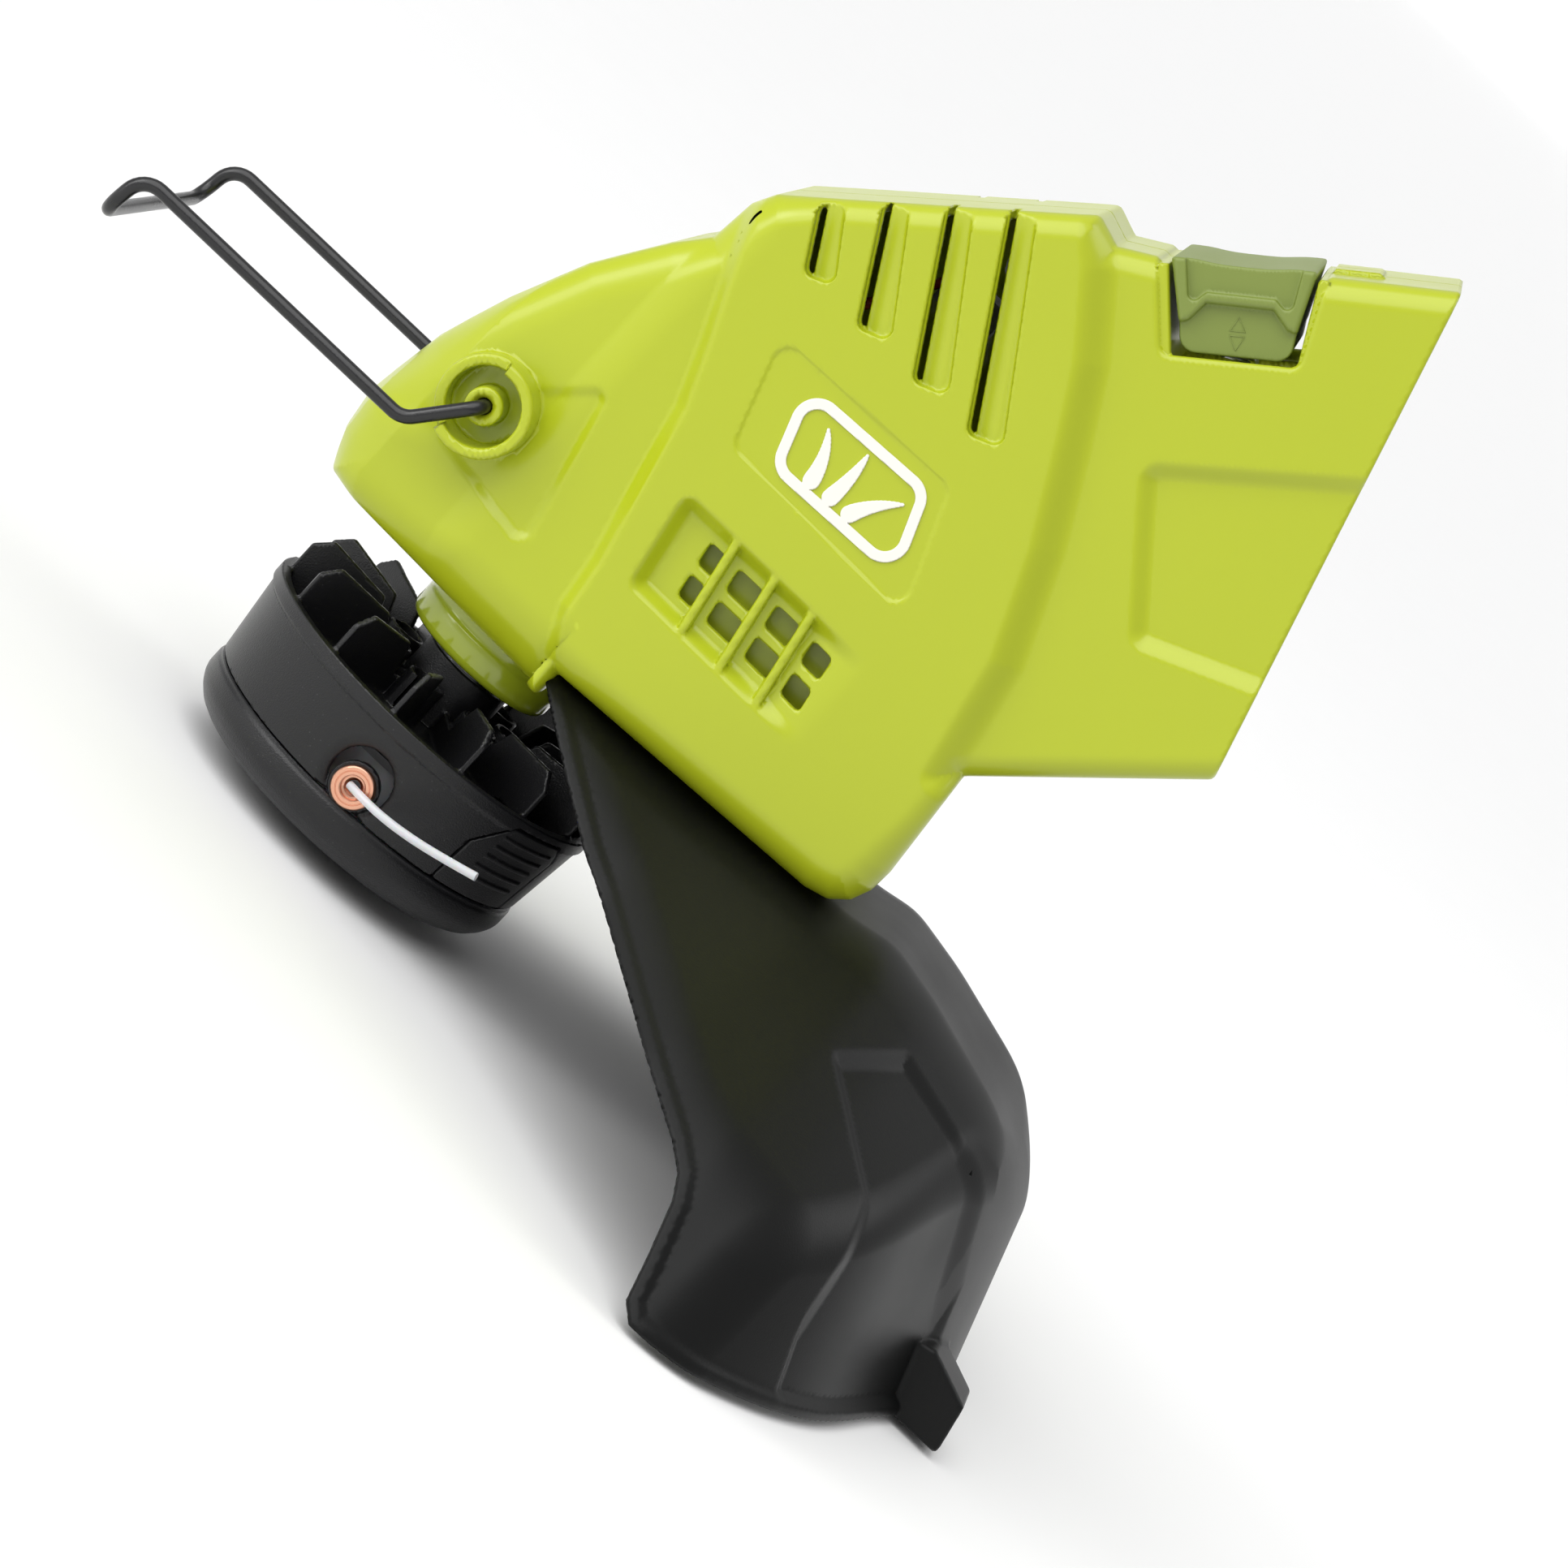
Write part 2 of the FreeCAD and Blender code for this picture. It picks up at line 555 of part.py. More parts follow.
can_body = turned("can_body", [
    ("bearing_radius", plate_low + " + 0.2"),
    ("bearing_radius + 1.3", plate_low + " + 0.2"),
    ("bearing_radius + 1.3", plate_top),
    ("motor_radius", plate_top),
    ("motor_radius", can_top),
    ("motor_radius - motor_wall", can_top),
    ("motor_radius - motor_wall", plate_top + " + 2"),
    ("bearing_radius", plate_top + " + 2"),
])
can_holes = [
    cylinder("can_hole_%d" % side, "screw_radius", "4",
             ("motor_screw_pitch * %d" % side, "0", plate_top + " - 1"))
    for side in (-1, 1)
]
node("motor_can", cut("motor_can", can_body, *can_holes))
motor_screws = []
for side in (-1, 1):
    at = "motor_screw_pitch * %d" % side
    shank = cylinder("motor_shank_%d" % side, "screw_radius", "plate_thick + 4",
                     (at, "0", plate_low))
    head = cylinder("motor_head_%d" % side, "screw_head_radius - 0.6", "1.6",
                    (at, "0", plate_low + " - 1.6"))
    motor_screws.append(join("motor_screw_%d" % side, shank, head))
node("motor_screws", group("motor_screws", *motor_screws))
node("motor_end_cap", turned("motor_end_cap", [
    ("bearing_radius", can_top),
    ("motor_radius", can_top),
    ("motor_radius", can_top + " + 4"),
    ("bearing_radius + 2.5", can_top + " + 4"),
    ("bearing_radius + 2.5", can_top + " + bearing_width + 2"),
    ("shaft_radius + 1.5", can_top + " + bearing_width + 2"),
    ("shaft_radius + 1.5", can_top + " + bearing_width"),
    ("bearing_radius", can_top + " + bearing_width"),
]))


def bearing(name, low):
    return node(name, turned(name, [
        ("shaft_radius + running_gap / 2", low),
        ("bearing_radius", low),
        ("bearing_radius", low + " + bearing_width"),
        ("shaft_radius + running_gap / 2", low + " + bearing_width"),
    ]))


bearing("lower_bearing", plate_low + " + 0.2")
bearing("upper_bearing", can_top)
core_low = plate_top + " + 9"
magnet_outer = "motor_radius - motor_wall"
magnet_ring = turned("magnet_ring", [
    ("core_radius + magnet_gap", core_low + " - 2"),
    (magnet_outer, core_low + " - 2"),
    (magnet_outer, core_low + " + core_length + 2"),
    ("core_radius + magnet_gap", core_low + " + core_length + 2"),
])
node("motor_magnets", cut("motor_magnets", magnet_ring, block(
    "magnet_split", "core_radius", "3 * motor_radius", "core_length + 10",
    ("-core_radius / 2", "-1.5 * motor_radius", core_low + " - 5"))))
brush_low = core_low + " + core_length + 8"
brushes = [
    block("brush_rear", "6", "5", "6",
          ("commutator_radius + brush_gap", "-2.5", brush_low)),
    block("brush_front", "6", "5", "6",
          ("-(commutator_radius + brush_gap + 6)", "-2.5", brush_low)),
]
node("carbon_brushes", group("carbon_brushes", *brushes))

node("motor_shaft", cylinder("motor_shaft", "shaft_radius", can_top + " + bearing_width + 1 - deck_top",
                             ("0", "0", "deck_top")))
node("rotor_core", turned("rotor_core", [
    ("shaft_radius", core_low),
    ("core_radius", core_low),
    ("core_radius", core_low + " + core_length"),
    ("shaft_radius", core_low + " + core_length"),
]))
winding_ends = []
for side, low in (("low", core_low + " - 4"), ("top", core_low + " + core_length")):
    winding_ends.append(turned("winding_" + side, [
        ("shaft_radius + 3", low),
        ("core_radius - 2", low),
        ("core_radius - 2", low + " + 4"),
        ("shaft_radius + 3", low + " + 4"),
    ]))
node("rotor_windings", group("rotor_windings", *winding_ends))
node("commutator", turned("commutator", [
    ("shaft_radius", brush_low + " - 1"),
    ("commutator_radius", brush_low + " - 1"),
    ("commutator_radius", brush_low + " + 7"),
    ("shaft_radius", brush_low + " + 7"),
]))

terminal = number(can_top + " + 4")
plug_x = number("hump_top_x - 17")
plug_z = number("hump_top_z - 38")
lead_paths = [
    [Vector(x, y, terminal), Vector(x, y, terminal + 16), Vector(x + 12, y, terminal + 34),
     Vector(plug_x, y * 0.45, plug_z)]
    for x, y in ((-2, -14), (-2, 14))
]
lead_radius = number("lead_radius")
lead_bend = number("lead_bend")
node("motor_leads", shaped("motor_leads", Part.makeCompound(
    [tube(points, lead_radius, [lead_bend] * (len(points) - 2)) for points in lead_paths])))
node("lead_connector", block("lead_connector", "16", "18", "9",
                             ("hump_top_x - 17", "-9", "hump_top_z - 42.5")))

# Tilting pole socket.

tilt = ("tilt_x", "0", "tilt_z")
socket_turn = "90 - pole_angle"


def along_pole(name, radius, low, high):
    """A cylinder on the pole's axis, between two distances from the tilt pin."""
    at = ("tilt_x + (%s) * cos(pole_angle)" % low, "0", "tilt_z + (%s) * sin(pole_angle)" % low)
    return cylinder(name, radius, "(%s) - (%s)" % (high, low), at, (0, 1, 0), socket_turn)


def round_tilt(radius, angle):
    return ("tilt_x + (%s) * cos(%s)" % (radius, angle), "tilt_z + (%s) * sin(%s)" % (radius, angle))


sector = side_sketch("quadrant_outline", [("tilt_x", "tilt_z")] + [
    round_tilt("1.2 * quadrant_radius", "quadrant_from + quadrant_sweep * %s / 3" % step) for step in range(4)
])
quadrant_block = extruded("quadrant_block", sector, (0, -1, 0), "quadrant_thick / 2", "quadrant_thick / 2")
quadrant = common("quadrant", quadrant_block, along_y(
    "quadrant_disc", "quadrant_radius", "tilt_x", "tilt_z", "-quadrant_thick", "quadrant_thick"))
notches = []
for step in range(-2, 3):
    x, z = round_tilt("quadrant_radius", "90 + %s + notch_pitch * %d" % (neck_angle, step))
    notches.append(along_y("notch_%d" % (step + 2), "notch_radius", x, z, "-quadrant_thick", "quadrant_thick"))
socket_form = join(
    "socket_form",
    along_pole("socket_tube", "pole_radius + socket_gap + socket_wall", "0", "socket_length"),
    along_y("knuckle", "knuckle_radius", "tilt_x", "tilt_z", "-knuckle_half_width", "knuckle_half_width"),
    quadrant,
)
bush_hole = along_y("bush_hole", "bush_radius", "tilt_x", "tilt_z", "-knuckle_half_width - 1",
                    "knuckle_half_width + 1")
pole_hole = along_pole("pole_hole", "pole_radius + socket_gap", "socket_floor", "socket_length + 1")
node("pole_socket", cut("pole_socket", socket_form, bush_hole, pole_hole, *notches))
bushes = []
for side in (-1, 1):
    inner = "knuckle_half_width * %s" % (0.4 if side > 0 else -1)
    outer = "knuckle_half_width * %s" % (1 if side > 0 else -0.4)
    bushes.append(cut(
        "bush_%d" % side,
        along_y("bush_body_%d" % side, "bush_radius", "tilt_x", "tilt_z", inner, outer),
        along_y("bush_bore_%d" % side, "pin_radius + running_gap", "tilt_x", "tilt_z", inner + " - 1",
                outer + " + 1"),
    ))
node("socket_bushes", group("socket_bushes", *bushes))
node("tilt_pin", along_y("tilt_pin", "pin_radius", "tilt_x", "tilt_z", "-pin_half_length", "pin_half_length"))

# Lock button: a saddle over the neck, with a pawl that points at the tilt pin.

def lifted(name, by):
    """A corner of the window moved out of the neck."""
    return ("%s_x - (%s) * %s" % (name, by, neck_sin), "%s_z + (%s) * %s" % (name, by, neck_cos))


saddle_base = side_sketch("saddle_base", [
    lifted("window_front_top", "saddle_rise"),
    lifted("window_front_low", "button_travel"),
    lifted("window_rear_low", "button_travel"),
    lifted("window_rear_top", "saddle_rise"),
])
saddle_outline = inset("saddle_outline", saddle_base, "button_gap")
skirt_outline = inset("skirt_outline", window_outline, "button_gap")
saddle_half = "neck_half_width - 0.6"
skirt_half = "neck_half_width - shell_wall - 0.5"
inner_half = saddle_half + " - saddle_side - 1"
saddle_form = join(
    "saddle_form",
    extruded("saddle_block", saddle_outline, (0, -1, 0), saddle_half, saddle_half),
    extruded("skirt_block", skirt_outline, (0, -1, 0), skirt_half, skirt_half),
)
saddle_hollow = extruded("saddle_hollow", skirt_outline, (0, -1, 0), inner_half, inner_half)
for letter, expression in (("x", "saddle_thick * %s" % neck_sin), ("z", "-saddle_thick * %s" % neck_cos)):
    saddle_hollow.setExpression("Placement.Base." + letter, full(expression))
pawl_x, pawl_z = on_neck("-pawl_length / 2", "saddle_rise - saddle_thick - pawl_reach")
pawl = block("pawl", "pawl_length", "pawl_width", "pawl_reach + 1", (pawl_x, "-pawl_width / 2", pawl_z),
             angle="-(%s)" % neck_angle)
node("lock_button", join("lock_button", cut("saddle", saddle_form, saddle_hollow), pawl))

theta = math.radians(number(neck_angle))
out_of_neck = Vector(-math.sin(theta), 0, math.cos(theta))
seat_x, seat_z = (number(e) for e in on_neck("0", "-ledge_depth"))
spring_length = number("ledge_depth + saddle_rise - saddle_thick - button_gap - 0.1")
springs = [
    coil(number("button_spring_radius"), number("spring_wire"), spring_length, 8,
         Vector(seat_x, side * number("button_spring_y"), seat_z), out_of_neck)
    for side in (-1, 1)
]
node("button_springs", shaped("button_springs", Part.makeCompound(springs)))

# Edge guard: one wire, from the left pivot round the front to the right pivot.

half = number("guard_half_width")
pin_end = half - number("wire_pin_depth")
wire_side = [
    Vector(number("pivot_x"), 0, number("pivot_z")),
    Vector(number("arm_end_x"), 0, number("leg_z")),
    Vector(number("leg_end_x"), 0, number("leg_z")),
    Vector(number("tip_x"), 0, number("tip_z")),
]
left_run = [Vector(p.x, -half, p.z) for p in wire_side]
right_run = [Vector(p.x, half, p.z) for p in reversed(wire_side)]
pivot_points = [Vector(wire_side[0].x, y, wire_side[0].z) for y in (-pin_end, pin_end)]
wire_points = pivot_points[:1] + left_run + right_run + pivot_points[1:]
guard_bends = [number("pivot_bend")] + [number("wire_bend")] * 6 + [number("pivot_bend")]
node("wire_guard", shaped("wire_guard", tube(wire_points, number("wire_radius"), guard_bends)))

# Spool housing: a tapered cup whose deck carries fan blades.

taper = "(rim_radius - split_radius) / (rim_height - split_height)"


def cup_outside(height):
    return "split_radius + %s * ((%s) - split_height)" % (taper, height)


deck_low = "deck_top - deck_thick"
cup_body = turned("cup_body", [
    ("drive_radius + hub_gap", deck_low),
    (cup_outside(deck_low) + " - cup_wall", deck_low),
    ("split_radius - cup_wall", "split_height"),
    ("split_radius", "split_height"),
    ("rim_radius", "rim_height"),
    ("rim_radius - cup_wall - 0.6", "rim_height"),
    (cup_outside("deck_top") + " - cup_wall - 0.4", "deck_top"),
    ("hub_radius", "deck_top"),
    ("hub_radius", "hub_top"),
    ("drive_radius + hub_gap", "hub_top"),
])
blade_body = slab("blade_body", [
    ("hub_radius - 1", "deck_top - 1"),
    ("rim_radius - cup_wall", "deck_top - 1"),
    ("rim_radius - cup_wall", "rim_height"),
    ("rim_radius - cup_wall - 1.5", "rim_height + blade_rise - 3.5"),
    ("rim_radius - cup_wall - 4.5", "rim_height + blade_rise"),
    ("blade_inner + 3", "rim_height + blade_rise - 2.5"),
    ("blade_inner", "deck_top + 5.5"),
    ("hub_radius - 1", "deck_top + 5.5"),
], "-blade_thick / 2", "blade_thick", "XZ_Plane")
blades = blade_body.newObject("PartDesign::PolarPattern", "blades")
blades.Originals = [doc.getObject("blade_body_pad")]
blades.Axis = (doc.getObject("blade_body_outline"), ["V_Axis"])
bind(blades, Occurrences="blade_count")
blade_body.Tip = blades
place(blade_body, ("0", "0", "0"), (0, 0, 1), "blade_start")

eyelet_sides = {"near": "eyelet_turn", "far": "eyelet_turn + 180"}
tab_sides = {"a": "tab_turn", "b": "tab_turn + 180"}
cup_tools = []
for side, turn in eyelet_sides.items():
    seat = turned("eyelet_seat_" + side, [
        ("eyelet_seat - 8", "0"),
        ("eyelet_seat + 8", "0"),
        ("eyelet_seat + 8", "eyelet_radius + 2"),
        ("eyelet_seat", "eyelet_radius + 2"),
        ("eyelet_seat", "eyelet_barrel"),
        ("eyelet_seat - 8", "eyelet_barrel"),
    ], about="H_Axis")
    cup_tools.append(place(seat, ("0", "0", "eyelet_height"), (0, 0, 1), turn))
for side, turn in tab_sides.items():
    gap = turned("tab_window_" + side, [
        ("split_radius - 10", "split_height - 1"),
        ("rim_radius + 3", "split_height - 1"),
        ("rim_radius + 3", "tab_window_top"),
        ("split_radius - 10", "tab_window_top"),
    ], "tab_span + 2 * tab_gap_turn")
    cup_tools.append(place(gap, ("0", "0", "0"), (0, 0, 1),
                           "%s - tab_span / 2 - tab_gap_turn" % turn))
cup_solid = join("cup_solid", cup_body, blade_body)
node("spool_cup", cut("spool_cup", cup_solid, *cup_tools))

eyelets = []
for side, turn in eyelet_sides.items():
    eyelet = turned("eyelet_" + side, [
        ("eyelet_seat - 3", "eyelet_hole"),
        ("eyelet_seat - 0.5", "eyelet_hole"),
        ("eyelet_seat + eyelet_flange", "eyelet_hole + 1.3"),
        ("eyelet_seat + eyelet_flange", "eyelet_radius"),
        ("eyelet_seat", "eyelet_radius"),
        ("eyelet_seat", "eyelet_barrel"),
        ("eyelet_seat - 3", "eyelet_barrel"),
    ], about="H_Axis")
    eyelets.append(place(eyelet, ("0", "0", "eyelet_height"), (0, 0, 1), turn))
node("line_eyelets", group("line_eyelets", *eyelets))

# Cut line ends, one from each eyelet. The route is by hand, in the eyelet's own direction.

LINE_ROUTE = [(46.2, -1.0, -0.1), (50.8, 5.4, 0.4), (54.3, 14.2, 1.7), (57.3, 24.6, 4.2), (59.5, 34.8, 7.3)]
line_radius = number("line_radius")
for side, turn in eyelet_sides.items():
    spin = Rotation(Vector(0, 0, 1), number(turn))
    route = [spin.multVec(Vector(out, across, up + number("eyelet_height"))) for out, across, up in LINE_ROUTE]
    line_end = tube(route, line_radius)
    node("line_end_" + side, shaped("line_end_" + side, line_end))
    radii = ", ".join("%.1f" % widest_bend(route, i) for i in range(1, len(route) - 1))
    line_length = line_end.Volume / (math.pi * line_radius ** 2)
    print("line_end_%s: arcs of radius %s mm, length %.1f mm" % (side, radii, line_length))

node("drive_hub", turned("drive_hub", [
    ("shaft_radius", "deck_top + 3"),
    ("drive_radius", "deck_top + 3"),
    ("drive_radius", "hub_top"),
    ("drive_flange_radius", "hub_top"),
    ("drive_flange_radius", "collar_seat - 9"),
    ("shaft_radius", "collar_seat - 9"),
]))
node("hub_clip", turned("hub_clip", [
    ("shaft_radius", "deck_top + 0.5"),
    ("drive_radius - 1", "deck_top + 0.5"),
    ("drive_radius - 1", "deck_top + 3"),
    ("shaft_radius", "deck_top + 3"),
]))

# Spool cover, its two release tabs, the bump knob and the line spool.

cover_lip = "split_height - cover_gap"
node("spool_cover", turned("spool_cover", [
    ("knob_radius + knob_gap", "2.3"),
    ("split_radius - 4.3", "6.5"),
    ("split_radius - 1.1", "9.4"),
    ("split_radius + 0.3", "12.5"),
    ("split_radius + 0.3", cover_lip),
    ("split_radius - cup_wall", cover_lip),
    ("split_radius - cup_wall", "13"),
    ("split_radius - 3.5", "10.8"),
    ("split_radius - 5.1", "9"),
    ("knob_radius + knob_gap", "4.9"),
]))
for side, turn in tab_sides.items():
    tab = turned("cover_tab_" + side, [
        (cup_outside("split_height + 0.1") + " - tab_thick", "split_height + 0.1"),
        (cup_outside("split_height + 0.1"), "split_height + 0.1"),
        (cup_outside("tab_top"), "tab_top"),
        (cup_outside("tab_top") + " - tab_thick", "tab_top"),
    ], "tab_span")
    node("cover_tab_" + side, place(tab, ("0", "0", "0"), (0, 0, 1), "%s - tab_span / 2" % turn))

knob_neck = "spool_bore - knob_gap"
knob_top = "knob_shoulder + spool_height - 2"
spring_seat = "12"
node("bump_knob", turned("bump_knob", [
    ("0", "0"),
    ("knob_radius - 3", "0"),
    ("knob_radius - 0.8", "0.8"),
    ("knob_radius", "3"),
    ("knob_radius", "knob_shoulder"),
    (knob_neck, "knob_shoulder"),
    (knob_neck, knob_top),
    ("feed_spring_radius + 2", knob_top),
    ("feed_spring_radius + 2", spring_seat),
    ("0", spring_seat),
]))
spring_base = Vector(0, 0, number(spring_seat))
spring_height = number("%s - %s" % (deck_low, spring_seat))
node("feed_spring", shaped("feed_spring", coil(
    number("feed_spring_radius"), number("feed_spring_wire"), spring_height, 6, spring_base, Vector(0, 0, 1))))
spool_low = "knob_shoulder + 0.2"
spool_top = "knob_shoulder + 0.2 + spool_height"
node("line_spool", turned("line_spool", [
    ("spool_bore", spool_low),
    ("spool_radius", spool_low),
    ("spool_radius", spool_low + " + spool_flange"),
    ("spool_core", spool_low + " + spool_flange"),
    ("spool_core", spool_top + " - spool_flange"),
    ("spool_radius", spool_top + " - spool_flange"),
    ("spool_radius", spool_top),
    ("spool_bore", spool_top),
]))
node("wound_line", turned("wound_line", [
    ("spool_core", spool_low + " + spool_flange"),
    ("spool_radius - 4", spool_low + " + spool_flange"),
    ("spool_radius - 2.5", spool_low + " + spool_height / 2"),
    ("spool_radius - 4", spool_top + " - spool_flange"),
    ("spool_core", spool_top + " - spool_flange"),
]))

# Shield: a hood lofted through arched sections, closed at the rear by a cone round the spindle.

ROOF = [
    ("shield_front_x", "belly_front_z - shield_gap", "shield_front_half", "belly_front_z - 1.4", "3.2"),
    ("shield_mid_x", "belly_front_z + 1.4", "shield_front_half + 30", "55", "3"),
    ("belly_rear_x", "belly_rear_z - shield_gap - 0.1", "shield_kink_half - 18", "44", "2.2"),
    ("shield_crown_x - 11", "belly_rear_z - shield_gap", "shield_kink_half - 8", "40", "1.9"),
    ("shield_crown_x", "shield_crown_z", "shield_kink_half - 2", "38", "1.8"),
    ("shield_knee_x", "shield_knee_z", "shield_kink_half + 2", "34", "1.6"),
    ("shield_brow_x", "shield_brow_z + 1", "shield_kink_half", "28", "1.5"),
    ("shield_end_x", "shield_brow_z - 18", "shield_kink_half", "16", "1.5"),
]


def arch(name, x, crown, shoulder, shoulder_z, slope, less):
    """One arched section across the shield, less a wall, in the YZ plane at x."""
    flat = "shield_flat_half"
    foot = "%s + (%s + 30) / %s" % (shoulder, shoulder_z, slope)
    half_points = [
        (flat, "%s - %s" % (crown, less)),
        ("%s - %s" % (shoulder, less), "%s - %s" % (shoulder_z, less)),
        ("%s - %s" % (foot, less), "-30 - %s" % less),
    ]
    points = [("-(%s)" % y, z) for y, z in reversed(half_points)] + half_points
    sketch = doc.addObject("Sketcher::SketchObject", name)
    draw(sketch, points)
    sketch.Placement = Placement(Vector(0, 0, 0), Rotation(Vector(1, 1, 1), 120))
    sketch.setExpression("Placement.Base.x", full(x))
    return sketch


def hood(name, less, front_run):
    sections = []
    for i, (x, crown, shoulder, shoulder_z, slope) in enumerate(ROOF):
        if i == 0:
            x = "%s - %s" % (x, front_run)
        sections.append(arch("%s_%d" % (name, i), x, crown, shoulder, shoulder_z, slope, less))
    loft = doc.addObject("Part::Loft", name)
    loft.Sections = sections
    loft.Solid = True
    loft.Ruled = True
    return loft


def rear_cone(name, less):
    cone = doc.addObject("Part::Cone", name)
    lean = "tan(shield_lean)"
    bind(cone, Radius1="shield_radius + (shield_low + 40) * %s - %s" % (lean, less),
         Radius2="shield_radius + (shield_low - 120) * %s - %s" % (lean, less), Height="160")
    return place(cone, ("0", "0", "-40"))


side_keep = side_sketch("shield_side", [
    ("shield_front_x - 9", "150"),
    ("shield_front_x - 9", "belly_front_z"),
    ("shield_front_x", "belly_front_z - 4"),
    ("shield_mid_x - 9", "54.5"),
    ("shield_kink_x", "30"),
    ("shield_kink_x + 6", "14"),
    ("shield_kink_x + 9", "shield_low + 3"),
    ("shield_kink_x + 13", "shield_low"),
    ("shield_end_x + 5", "shield_low"),
    ("shield_end_x + 5", "150"),
])
wide = "shield_corner_half + 60"
outer_hood = common("outer_hood", hood("outer_loft", "0", "0"), rear_cone("outer_cone", "0"))
inner_hood = common("inner_hood", hood("inner_loft", "shield_wall", "6"), rear_cone("inner_cone", "shield_wall"))
hood_shell = cut("hood_shell", outer_hood, inner_hood)
hood_trim = common("hood_trim", hood_shell, extruded("side_keep", side_keep, (0, -1, 0), wide, wide))
cutter_block = extruded("cutter_block", side_sketch("cutter_outline", [
    ("shield_radius - 16", "cutter_top - 2"),
    ("shield_radius - 10.5", "cutter_top"),
    ("shield_radius + cutter_overhang / 2", "cutter_top - 5.4"),
    ("shield_radius + cutter_overhang", "shield_low + 3"),
    ("shield_radius + cutter_overhang - 1", "shield_low"),
    ("shield_radius - 17", "shield_low"),
]), (0, -1, 0), "cutter_half - cutter_y", "cutter_y + cutter_half - 8")
cutter_seat = block("cutter_seat", "cutter_depth - 4", "2 * cutter_half - 8", "12",
                    ("shield_radius - cutter_depth", "cutter_y - cutter_half", "shield_low + 2"))
shield_form = join("shield_form", hood_trim, cutter_block, cutter_seat)
shield_holes = []
shield_screws = []
for i, (x, y) in enumerate(shield_spots):
    shield_holes.append(cylinder("shield_hole_%d" % i, "screw_radius + screw_gap", "30", (x, y, "60")))
    low = belly(x) + " - shield_wall - 1"
    shank = cylinder("shield_shank_%d" % i, "screw_radius", "shield_wall + 8", (x, y, low))
    head = cylinder("shield_head_%d" % i, "screw_head_radius", "screw_head_depth",
                    (x, y, low + " - screw_head_depth"))
    shield_screws.append(join("shield_screw_%d" % i, shank, head))
blade_y = "cutter_y + cutter_half - 8"
blade_hole_x = "shield_radius - cutter_depth + 3.5 + 8 * %d"
blade_holes = []
cutter_screws = []
for i in range(2):
    x = blade_hole_x % i
    z = "shield_low + 8"
    blade_holes.append(along_y("cutter_hole_%d" % i, "screw_radius", x, z, blade_y + " - 7", blade_y + " + 4"))
    shank = along_y("cutter_shank_%d" % i, "screw_radius", x, z, blade_y + " - 6", blade_y + " + blade_plate")
    head = along_y("cutter_head_%d" % i, "screw_head_radius - 0.5", x, z, blade_y + " + blade_plate",
                   blade_y + " + blade_plate + 1.6")
    cutter_screws.append(join("cutter_screw_%d" % i, shank, head))
collar_notch = cylinder("collar_notch", "collar_radius + 0.5", "60", ("0", "0", "40"))
node("shield", cut("shield", shield_form, collar_notch, *(shield_holes + blade_holes)))
node("shield_screws", group("shield_screws", *shield_screws))
blade_plate_form = slab("blade_plate_form", [
    ("shield_radius - cutter_depth - 8", "shield_low + 2.5"),
    ("shield_radius - 12", "shield_low + 2.5"),
    ("shield_radius - 12", "shield_low + 13.5"),
    ("shield_radius - cutter_depth - 4", "shield_low + 13.5"),
], "-(%s + blade_plate)" % blade_y, "blade_plate", "XZ_Plane")
node("cutter_blade", cut("cutter_blade", blade_plate_form, *[
    along_y("blade_hole_%d" % i, "screw_radius", blade_hole_x % i, "shield_low + 8",
            blade_y + " - 1", blade_y + " + 4") for i in range(2)
]))
node("cutter_screws", group("cutter_screws", *cutter_screws))

doc.recompute()
for item in doc.Objects:
    if "Invalid" in item.State or "Error" in item.State:
        raise RuntimeError("%s failed: %s" % (item.Name, item.State))
for name, feature in PARTS.items():
    shape = feature.Shape
    if shape.isNull() or not shape.isValid() or not shape.Solids:
        raise RuntimeError("%s has no valid solid" % name)

os.makedirs("parts", exist_ok=True)
for name, feature in PARTS.items():
    feature.Shape.exportStep("parts/%s.step" % name)
print("%d pieces" % len(PARTS))
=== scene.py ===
import math

import bmesh
import bpy
import numpy as np
from mathutils import Matrix, Vector


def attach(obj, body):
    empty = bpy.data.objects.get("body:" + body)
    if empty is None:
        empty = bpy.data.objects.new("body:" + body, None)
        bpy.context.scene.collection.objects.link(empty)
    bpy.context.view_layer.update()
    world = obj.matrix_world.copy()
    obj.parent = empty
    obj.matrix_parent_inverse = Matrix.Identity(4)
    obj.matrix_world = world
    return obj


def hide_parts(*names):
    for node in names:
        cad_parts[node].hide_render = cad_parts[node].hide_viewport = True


# Cutting head of a string trimmer. Shapes are worked out in millimetres as distance fields, which are
# less than 0 inside, and meshed in metres. +Z runs up the spindle, +X to the rear, -Y is the left side.

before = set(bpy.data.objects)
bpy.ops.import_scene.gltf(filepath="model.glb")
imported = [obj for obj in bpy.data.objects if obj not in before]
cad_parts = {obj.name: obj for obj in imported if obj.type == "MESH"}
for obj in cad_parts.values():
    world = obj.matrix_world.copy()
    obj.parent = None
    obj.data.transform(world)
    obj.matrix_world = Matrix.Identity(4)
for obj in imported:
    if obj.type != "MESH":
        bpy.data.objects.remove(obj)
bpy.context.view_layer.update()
MM = 0.001


# ---------------------------------------------------------------- distance fields

def fillet_join(a, b, radius):
    """Either shape, with a fillet of that radius between them."""
    reach = np.hypot(np.maximum(radius - a, 0), np.maximum(radius - b, 0))
    return np.maximum(radius, np.minimum(a, b)) - reach


def round_both(a, b, radius):
    """Where both shapes are, with the edge between them rounded."""
    reach = np.hypot(np.maximum(radius + a, 0), np.maximum(radius + b, 0))
    return np.minimum(-radius, np.maximum(a, b)) + reach


def carve(a, b, radius=0.6):
    """The first shape without the second."""
    return round_both(a, -b, radius)


